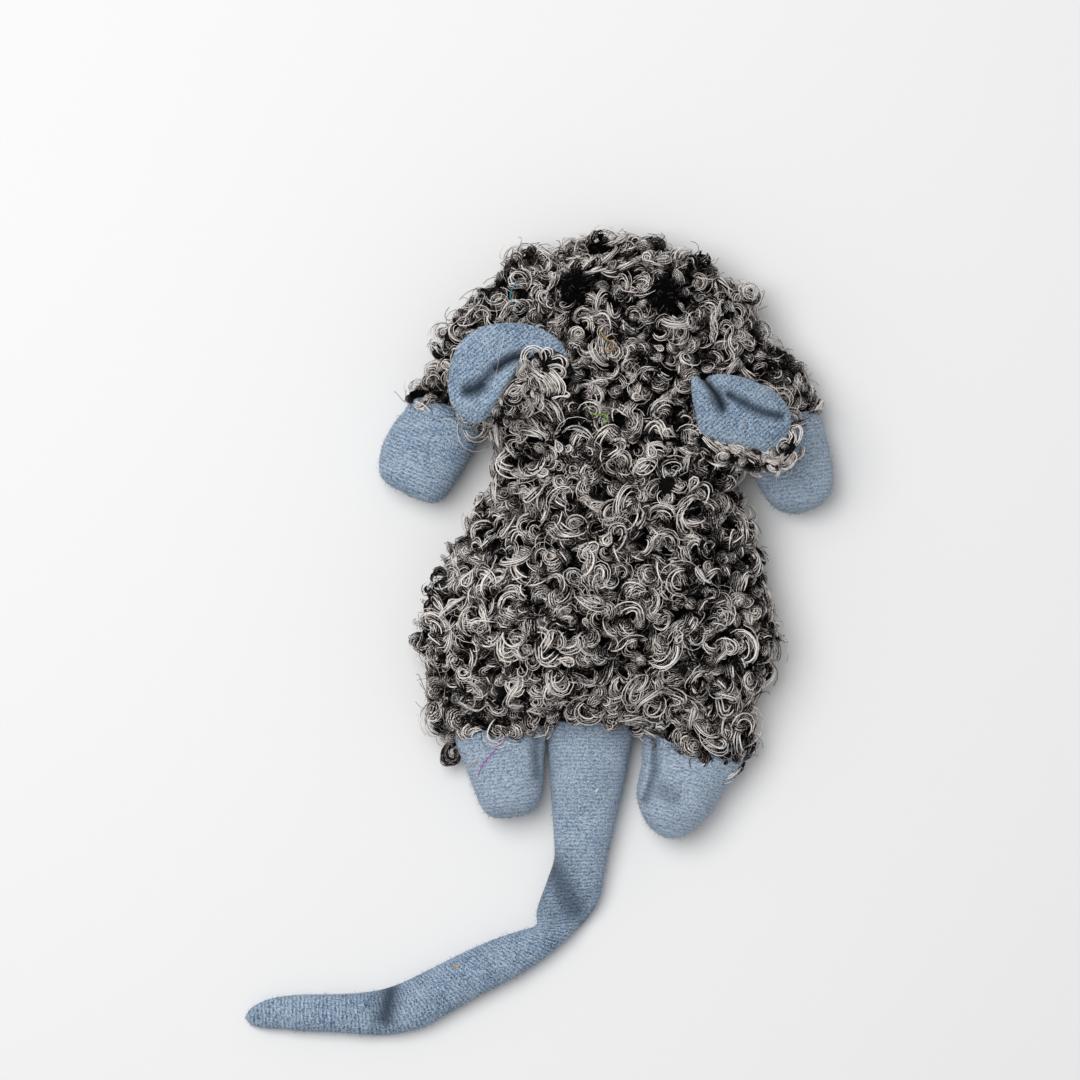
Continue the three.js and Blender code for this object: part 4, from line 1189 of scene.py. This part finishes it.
def pile_density(points):
    """How much pile the cloth carries: none in the wrists, at the eyes and in the tail's mouth."""
    x, y, z = points.T
    density = np.where(z < THIN_LEVEL, THIN_SHARE, 1.0)
    half, reach = WRIST_BARE
    for limb in LIMBS.values():
        wrist, forward, left = limb_frame(limb)
        local = points - wrist
        along = local @ forward
        density[(along > limb["pile_end"]) & (np.abs(local @ left) < half) & (along < reach)] = 0
    middle, half, front, top = TAIL_MOUTH
    density[(np.abs(x - middle) < half) & (y < front) & (z < top)] = 0
    for pixel, gap in EYES.values():
        eye_x, eye_y = mm_of(pixel)
        density[(z > EYE_LEVEL) & (np.hypot(x - eye_x, y - eye_y) < gap)] = 0
    return density


def corner_curl(finish):
    """The small dark curl beside the left hind paw."""
    rng = np.random.default_rng(21)
    flat = smooth_rows([mm_of(p) for p in CORNER_CURL], 3)
    line = np.column_stack([flat, np.full(len(flat), CORNER_CURL_LEVEL)])
    bundle = Bundle()
    bundle.lock(line, CORNER_CURL_RADIUS, 0.4, 9)
    for _ in range(CORNER_CURL_STRANDS):
        turn = rng.uniform(0, math.tau)
        shift = CORNER_CURL_RADIUS * math.cos(turn)
        way = line + (shift, shift, abs(0.95 * math.sin(turn)))
        bundle.add(way[:-2], rng.uniform(0.05, 0.1), 3, rng.uniform(0.2, 0.85))
    return bundle.piece("corner_curl", finish)


class PileOperator(bpy.types.Operator):
    """Covers the bag with ringlets and loose hairs."""

    bl_idname = "mouse.pile"
    bl_label = "Pile"

    def execute(self, context):
        pile = settings("mouse_pile")
        bag = bpy.data.objects["bag_ground"]
        fibre = material("pile", pile_material)
        gloss = material("filament", filament_material)
        edges = np.quantile(points_of(bag.data)[:, 1], np.linspace(0, 1, CURL_BANDS + 1)).tolist()
        edges[0], edges[-1] = EVERYWHERE
        for k, (low, high) in enumerate(zip(edges[:-1], edges[1:])):
            size = HEAD_SCALE if low > HEAD_START * MM else 1.0
            curls = scattered(
                f"ringlets_{k + 1}", bag, ringlets(), fibre, gloss, Spacing=pile.spacing * (0.5 + 0.5 * size),
                Band_start=low, Band_end=high, Least_scale=0.72 * size, Most_scale=1.25 * size, Seed=4)
            carry("bag", "curly_fabric", curls)
        loose = scattered("loose_hairs", bag, fluff(), fibre, gloss, Spacing=pile.fluff_spacing,
                          Least_scale=0.7, Most_scale=1.6, Tilt=0.9, Seed=8)
        carry("bag", "curly_fabric", loose, corner_curl(fibre))
        return {"FINISHED"}


class PawsOperator(bpy.types.Operator):
    """Makes the four fleece paws."""

    bl_idname = "mouse.paws"
    bl_label = "Paws"

    def execute(self, context):
        for name, limb in LIMBS.items():
            paw = paw_object(name, limb)
            wrist, forward, _ = limb_frame(limb)
            nap = nap_over(paw, f"{name}_paw_nap")
            for thing in (paw, nap):
                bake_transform(thing)
            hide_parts(f"{name}_paw_top", f"{name}_paw_bottom", f"{name}_paw_filling")
        return {"FINISHED"}


def paw_object(name, limb):
    """A stuffed fleece paw with its knit map and creases, flat where it rests."""
    wrist, forward, left = limb_frame(limb)
    rows = smooth_rows(limb["rows"], 8)
    angle, c, s = superellipse(PAW_SIDES, PAW_FULLNESS)
    rings, knit = [], []
    for along, inner, outer, swollen in rows:
        half = (inner + outer) / 2
        middle = (inner - outer) / 2 * limb["inner_side"]
        up = np.where(s > 0, PAW_RISE, PAW_DROP) * swollen * s
        rings.append(wrist + forward * along + np.outer(middle + half * c, left) + np.outer(up, (0, 0, 1.0)))
        knit.append(np.stack([angle * half, np.full(PAW_SIDES, along)], axis=1))
    tip = rings[-1].mean(axis=0) + forward * 0.3
    points = np.vstack([*rings, rings[0].mean(axis=0), tip])
    knit = np.vstack([*knit, (0, rows[0][0]), (0, rows[-1][0] + 0.3)])
    points[:, 2] = np.maximum(points[:, 2], PAW_FLAT)
    # The dents sink the paw, and painted shade darkens them
    crease_shade = press(points, PAW_DENTS.get(name, []), PAW_DENT_LEVEL)
    paw = knit_object(f"{name}_paw_fleece", points, loft_faces(len(rows), PAW_SIDES), knit)
    store(paw.data, "crease_shade", crease_shade)
    # Pale fuzz and painted light that lighten this paw's fleece
    store(paw.data, "fuzz_and_painted_light", np.full(len(points), limb["fuzz_and_painted_light"]))
    return paw


def line_distance(flat, line):
    """How far places are from a line through pixels, in millimetres."""
    path = np.array([mm_of(p) for p in line])
    off = np.full(len(flat), 1e9)
    for a, b in zip(path[:-1], path[1:]):
        t = np.clip(((flat - a) @ (b - a)) / ((b - a) @ (b - a)), 0, 1)
        off = np.minimum(off, np.linalg.norm(flat - (a + t[:, None] * (b - a)), axis=1))
    return off


def press(points, marks, above):
    """Sinks the surface above a height along marked lines, and gives each point the painted shade that darkens it
    there.
    """
    crease_shade = np.zeros(len(points))
    high = points[:, 2] > above
    for line, width, depth, dark in marks:
        share = np.exp(-((line_distance(points[:, :2], line) / width) ** 2)) * high
        points[:, 2] -= share * depth
        crease_shade = np.maximum(crease_shade, share * dark)
    return crease_shade


def nap_over(base, name, spacing_share=1.0):
    """Short raised fibres over a fleece piece, sparse in its creases."""
    crease_shade = np.empty(len(base.data.vertices), np.float32)
    base.data.attributes["crease_shade"].data.foreach_get("value", crease_shade)
    store(base.data, "pile", np.clip(1.1 - crease_shade * 1.6, 0, 1))
    return scattered(name, base, nap_hairs(), material("nap", nap_material),
                     Spacing=settings("mouse_fleece").nap_spacing * spacing_share, Least_scale=0.6,
                     Most_scale=1.3, Tilt=1.3, Seed=5)


class TailOperator(bpy.types.Operator):
    """Makes the fleece tail in three pieces, one over each place where it bends."""

    bl_idname = "mouse.tail"
    bl_label = "Tail"

    def execute(self, context):
        rings, knit, place, crease_shade = tail_rings()
        cuts = [0, *[nearest_row(place, spot) for spot in TAIL_CUTS], len(rings) - 1]
        for first, last, (name, before, after, hinge, reach, nodes) in zip(cuts[:-1], cuts[1:], TAIL_PIECES):
            part = rings[first:last + 1]
            ends = [part[0].mean(axis=0), part[-1].mean(axis=0)]
            if last == len(rings) - 1:
                ends[1] = np.array((*mm_of(TAIL_TIP), part[-1][:, 2].mean()))
            points = np.vstack([*part, *ends])
            maps = np.vstack([*knit[first:last + 1], knit[first][0], knit[last][0]])
            piece = knit_object(name, points, loft_faces(len(part), TAIL_SIDES), maps)
            store(piece.data, "crease_shade", np.concatenate([*crease_shade[first:last + 1], (0, 0)]))
            # Pale fuzz and painted light, more towards the tail's root
            store(piece.data, "fuzz_and_painted_light", np.clip(0.25 + (points[:, 1] + 34) * 0.0085, 0.02, 0.27))
            nap = nap_over(piece, f"{name}_nap")
            middle = np.array(hinge)
            row = nearest_row(place, hinge[:2])
            way = place[min(row + 4, len(place) - 1)] - place[row - 4]
            way[2] = 0
            way /= np.linalg.norm(way)
            for thing in (piece, nap):
                tuple((middle - way * reach) * MM)
                tuple((middle + way * reach) * MM)
                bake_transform(thing)
            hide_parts(*[f"{node}_{layer}" for node in nodes for layer in ("sleeve", "filling")])
        return {"FINISHED"}


def tail_rings():
    """The tail's rings in millimetres, their knit map, the middle of each and the painted shade of each point."""
    rows = smooth_rows([(*mm_of(left), *mm_of(right), half) for left, right, half in TAIL_ROWS], 8)
    angle, c, s = superellipse(TAIL_SIDES, TAIL_FULLNESS)
    rings, knit, middles = [], [], []
    run = 0.0
    for k, (lx, ly, rx, ry, half_height) in enumerate(rows):
        left, right = np.array((lx, ly, 0.0)), np.array((rx, ry, 0.0))
        middle = (left + right) / 2
        if k:
            run += np.linalg.norm(middle - middles[-1] * (1, 1, 0))
        middle[2] = half_height - TAIL_SUNK
        across = (right - left) / 2
        ring = middle + np.outer(c, across) + np.outer(s * half_height, (0, 0, 1.0))
        ring[:, 2] = np.maximum(ring[:, 2], TAIL_FLAT)
        rings.append(ring)
        middles.append(middle)
        knit.append(np.stack([angle * np.linalg.norm(across), np.full(TAIL_SIDES, run)], axis=1))
    points = np.vstack(rings)
    # The dents sink the tail, and painted shade darkens them
    crease_shade = press(points, TAIL_DENTS, TAIL_DENT_LEVEL).reshape(len(rows), TAIL_SIDES)
    return points.reshape(len(rows), TAIL_SIDES, 3), knit, np.array(middles), crease_shade


def nearest_row(middles, spot):
    """The tail's row whose middle is nearest to a place in millimetres."""
    return int(np.argmin(np.linalg.norm(middles[:, :2] - np.array(spot), axis=1)))


class EarsOperator(bpy.types.Operator):
    """Makes the folded ears: a fleece lining over a curly back."""

    bl_idname = "mouse.ears"
    bl_label = "Ears"

    def execute(self, context):
        fibre = material("pile", pile_material)
        gloss = material("filament", filament_material)
        for name, ear in EARS.items():
            lining, back = ear_pieces(name, ear)
            strip = turned_strip(name, ear)
            store(back.data, "pile", under_pile(back, ear))
            nap = nap_over(lining, f"{name}_nap", 1.15)
            under = scattered(f"{name}_back_ringlets", back, ringlets(), fibre, gloss, Spacing=2.0 * MM,
                              Least_scale=0.5, Most_scale=0.75, Tilt=0.4, Seed=3)
            curls = scattered(f"{name}_strip_ringlets", strip, ringlets(), fibre, gloss, Spacing=1.55 * MM,
                              Least_scale=0.45, Most_scale=0.75, Seed=6)
            carry(name, "fleece", lining, nap)
            carry(name, "curly_fabric", back, under, strip, curls, rim_locks(name, ear))
            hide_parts(f"{name}_lining")
            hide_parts(f"{name}_back")
        return {"FINISHED"}


def under_pile(back, ear):
    """An ear's back carries pile on its underside, but not where it is folded up against the lining."""
    points = points_of(back.data) / MM
    below = points[:, 2] < np.median(points[:, 2])
    for line, _, _ in ear["folds"]:
        below &= line_distance(points[:, :2], line) > 2.6
    return below.astype(float)


def ear_pieces(name, ear):
    """An ear's fleece lining and the cloth of its curly back, a little smaller and below it."""
    lining = pillow(f"{name}_fleece", ear, *EAR_LINING, material("fleece", fleece_material))
    back = pillow(f"{name}_ground", ear, *EAR_BACK, material("ground", cloth_material))
    return lining, back


def pillow(piece, ear, lift, thick, grow, finish):
    """A soft closed sheet inside the ear's outline, rounded at its rim."""
    outline = np.array([mm_of(p) for p in ear["outline"]])
    outline = smooth_rows(np.vstack([outline, outline[0]]), 7)[:-1]
    middle = np.array(mm_of(ear["middle"]))
    shares = np.sin(np.linspace(0, math.pi / 2, EAR_RINGS + 1))[1:]
    away = outline - middle
    length = np.linalg.norm(away, axis=1)[:, None]
    border = middle + away * (1 + grow / length)
    top, bottom = [], []
    for share in shares:
        flat = middle + (border - middle) * share
        rim = math.sqrt(max(1 - share ** 5, 0))
        height = ear_surface(ear, flat) + lift - thick * 0.35 * share ** 6
        top.append(np.column_stack([flat, height + thick / 2 * rim]))
        if share < 1:
            bottom.append(np.column_stack([flat, height - thick / 2 * rim]))
    level = ear_surface(ear, np.array([middle]))[0] + lift
    rings = [*top, *bottom[::-1]]
    points = np.vstack([*rings, (*middle, level + thick / 2), (*middle, level - thick / 2)])
    sides = len(outline)
    turned = points[:, :2] @ np.array(Matrix.Rotation(0.7, 2))
    thing = knit_object(piece, points, loft_faces(len(rings), sides), turned, finish)
    face_outwards(thing)
    # Painted shade over the ear's top: a little everywhere, more along its folds
    crease_shade = np.full(len(points), 0.05)
    for line, width, depth in ear["folds"]:
        near = np.exp(-((line_distance(points[:, :2], line) / (width * 0.85)) ** 2))
        crease_shade = np.maximum(crease_shade, near * min(depth / 3.3, 1))
    crease_shade[sides * EAR_RINGS:-2] = 0
    store(thing.data, "crease_shade", crease_shade)
    # A little pale fuzz and painted light over the ear
    store(thing.data, "fuzz_and_painted_light", np.full(len(points), 0.03))
    return thing


def ear_slope(ear, flat):
    """Height of the unfolded ear over the floor, in millimetres."""
    forward = np.array(ear["heading"])
    return ear["level"] + ear["slope"] * ((flat - np.array(ear["hinge"][:2])) @ forward)


def ear_surface(ear, flat):
    """Middle height of the folded ear over the floor, in millimetres."""
    height = ear_slope(ear, flat)
    sunk = [depth * np.exp(-((line_distance(flat, line) / width) ** 2)) for line, width, depth in ear["folds"]]
    height = height - np.max(sunk, axis=0)
    for line, width, rise in ear["crests"]:
        height = height + rise * np.exp(-((line_distance(flat, line) / width) ** 2))
    return height


def turned_strip(name, ear):
    """The strip of an ear's curly back that shows beside its lining."""
    line, radius, lift, bare = TURNED_STRIPS[name]
    flat = smooth_rows([mm_of(p) for p in line], 5)
    height = ear_slope(ear, flat) + lift
    t = np.linspace(0, 1, len(flat))
    girth = radius * np.clip(np.sin(math.pi * t) ** 0.4, 0.35, 1)
    strip_name = f"{name}_turned_strip"
    points, faces = tube(np.column_stack([flat, height]), girth, STRIP_SIDES)
    strip = place_object(strip_name, mesh_of(strip_name, points, faces), material("pile", pile_material))
    face_outwards(strip)
    store(strip.data, "shade", np.full(len(points), 0.28))
    store(strip.data, "matted", np.ones(len(points)))
    store(strip.data, "strand", np.repeat(np.arange(len(flat)) * 0.9, STRIP_SIDES))
    covered = (t < bare[0]) | (t > bare[1])
    store(strip.data, "pile", np.repeat(covered, STRIP_SIDES).astype(float))
    return strip


def rim_locks(name, ear):
    """Bright strands that hook over an ear's turned rim."""
    rng = np.random.default_rng(17)
    bundle = Bundle()
    for way, number, spread, lift in EAR_LOCKS[name]:
        flat = smooth_rows([mm_of(p) for p in way], 4)
        t = np.linspace(0, 1, len(flat))
        heading = np.gradient(flat, axis=0)
        heading /= np.linalg.norm(heading, axis=1)[:, None]
        side = np.column_stack([-heading[:, 1], heading[:, 0]])
        for k in range(number):
            apart = ((k + 0.5) / number - 0.5) * 1.7 * spread + rng.normal(0, 0.07)
            offset = apart * (0.7 + 0.6 * t) + 0.08 * np.sin(t * rng.uniform(5, 12) + rng.uniform(0, 6))
            line = flat + side * offset[:, None]
            rise = lift + 0.5 * np.sin(math.pi * t) - 0.5 * np.abs(offset) + rng.normal(0, 0.12)
            height = ear_slope(ear, line) + rise - 1.4 * t ** 3
            size = rng.uniform(0.07, 0.16) * swell(t, 0.5, 0.5)
            bundle.add(np.column_stack([line, height]), size, 4, rng.uniform(0.66, 1.1))
    return bundle.piece(f"{name}_rim_locks", material("filament", filament_material))


class StrayFibresOperator(bpy.types.Operator):
    """Lays the few coloured threads and specks of lint that are caught on the toy."""

    bl_idname = "mouse.stray_fibres"
    bl_label = "Stray fibres"

    def execute(self, context):
        for name, (way, colour, size, carrier, body) in STRAYS.items():
            base = bpy.data.objects[carrier]
            lift = PILE_LIFT if carrier == "bag_ground" else 0.3 * size
            flat = smooth_rows([mm_of(p) for p in way], 4)
            line = np.array([(x, y, height_on(base, x, y) + lift) for x, y in flat])
            mesh = mesh_of(name, *tube(line, size * swell(np.linspace(0, 1, len(line)), 0.5, 0.5), 5))
            thing = place_object(name, mesh, material(name, thread_material, name, colour))
            face_outwards(thing)
            carry(body, "curly_fabric" if carrier == "bag_ground" else "fleece", thing)
        return {"FINISHED"}


def height_on(base, x, y):
    """Height of a piece's top over a place, in millimetres."""
    hit, spot, _, _ = base.ray_cast(Vector((x * MM, y * MM, 0.1)), Vector((0, 0, -1)))
    if not hit:
        raise RuntimeError(f"nothing of {base.name} at {x:.1f}, {y:.1f}")
    return spot.z / MM


class EyesOperator(bpy.types.Operator):
    """Makes the two black pile eyes."""

    bl_idname = "mouse.eyes"
    bl_label = "Eyes"

    def execute(self, context):
        finish = material("eye", eye_material)
        for name, (pixel, _) in EYES.items():
            low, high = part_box(name)
            middle = Vector((*mm_of(pixel), (low[2] + high[2]) / 2 / MM - 0.5))
            bm = bmesh.new()
            bmesh.ops.create_icosphere(bm, subdivisions=3, radius=1.0)
            bumps = np.random.default_rng(2)
            for vert in bm.verts:
                wobble = 1 + 0.04 * bumps.standard_normal()
                vert.co = Vector([c * r for c, r in zip(vert.co, EYE_RADII)]) * wobble
                vert.co = (vert.co + middle) * MM
            pad = place_object(f"{name}_pad", mesh_from(bm, f"{name}_pad"), finish)
            store(pad.data, "pile", np.ones(len(pad.data.vertices)))
            tuft = scattered(f"{name}_tuft", pad, eye_hairs(), finish, Spacing=0.26 * MM, Least_scale=0.8,
                             Most_scale=1.7, Tilt=1.1, Seed=2)
            carry("bag", "eye_pile", pad, tuft)
            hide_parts(name)
        return {"FINISHED"}


class StageOperator(bpy.types.Operator):
    """Makes the floor, the light and the camera."""

    bl_idname = "mouse.stage"
    bl_label = "Stage"

    def execute(self, context):
        stage = settings("mouse_stage")
        scene = context.scene
        bm = bmesh.new()
        bmesh.ops.create_grid(bm, x_segments=4, y_segments=4, size=FLOOR_HALF)
        paper = Recipe("floor_paper")
        paper.finish(Base_Color=(*stage.floor_colour, 1), Roughness=0.9)
        away = paper.node("ShaderNodeVectorMath", "Value", operation="LENGTH", sockets={0: paper.place()})
        near, far = FLOOR_FADES
        share = paper.node("ShaderNodeMapRange", sockets={"Value": away, "From Min": near, "From Max": far})
        paper.seen_white("ShaderNodeEmission", BACKDROP_WHITE, share)
        place_object("floor", mesh_from(bm, "floor"), paper.owner)
        sky = Recipe("soft_sky", "worlds")
        scene.world = sky.finish(Color=(1, 1, 1, 1), Strength=stage.sky_strength)
        sky.seen_white("ShaderNodeBackground", BACKDROP_WHITE)

        lamp = bpy.data.lights.new("key", "AREA")
        lamp.shape = "DISK"
        lamp.size = KEY_WIDTH
        lamp.energy = stage.key_power
        key = bpy.data.objects.new("key", lamp)
        key.location = KEY_PLACE
        key.rotation_euler = Vector(KEY_PLACE).to_track_quat("Z", "Y").to_euler()
        scene.collection.objects.link(key)

        data = bpy.data.cameras.new("camera")
        data.sensor_width = SENSOR_WIDTH
        field = IMAGE_PIXELS / PIXELS_PER_MM * MM
        data.lens = SENSOR_WIDTH * (stage.camera_height - SCALE_LEVEL * MM) / field
        data.clip_end = 20
        camera = bpy.data.objects.new("camera", data)
        x, y = mm_of((IMAGE_PIXELS / 2, IMAGE_PIXELS / 2))
        camera.location = (x * MM, y * MM, stage.camera_height)
        scene.collection.objects.link(camera)
        scene.camera = camera
        scene.view_settings.view_transform = "Standard"
        return {"FINISHED"}


class MousePanel(bpy.types.Panel):
    """Lists the steps that make the mouse."""

    bl_idname = "VIEW3D_PT_mouse"
    bl_label = "Catnip Mouse"
    bl_space_type = "VIEW_3D"
    bl_region_type = "UI"
    bl_category = "Mouse"

    def draw(self, context):
        for group in GROUPS:
            box = self.layout.box()
            for key in getattr(context.scene, group).bl_rna.properties.keys():
                if key not in ("rna_type", "name"):
                    box.prop(getattr(context.scene, group), key)
        for step in STEPS:
            self.layout.operator(step.bl_idname)


STEPS = [StageOperator, BagOperator, PileOperator, EyesOperator, EarsOperator, PawsOperator, TailOperator,
         StrayFibresOperator]
GROUPS = {"mouse_pile": PileSettings, "mouse_fleece": FleeceSettings, "mouse_stage": StageSettings}


def register():
    for group in (*GROUPS.values(), *STEPS, MousePanel):
        bpy.utils.register_class(group)
    for name, group in GROUPS.items():
        setattr(bpy.types.Scene, name, bpy.props.PointerProperty(type=group))


def unregister():
    for name in GROUPS:
        delattr(bpy.types.Scene, name)
    for group in (*GROUPS.values(), *STEPS, MousePanel):
        bpy.utils.unregister_class(group)


def main():
    register()
    bpy.ops.mouse.stage()
    bpy.ops.mouse.bag()
    bpy.ops.mouse.pile()
    bpy.ops.mouse.eyes()
    bpy.ops.mouse.ears()
    bpy.ops.mouse.paws()
    bpy.ops.mouse.tail()
    bpy.ops.mouse.stray_fibres()


if __name__ == "__main__":
    main()
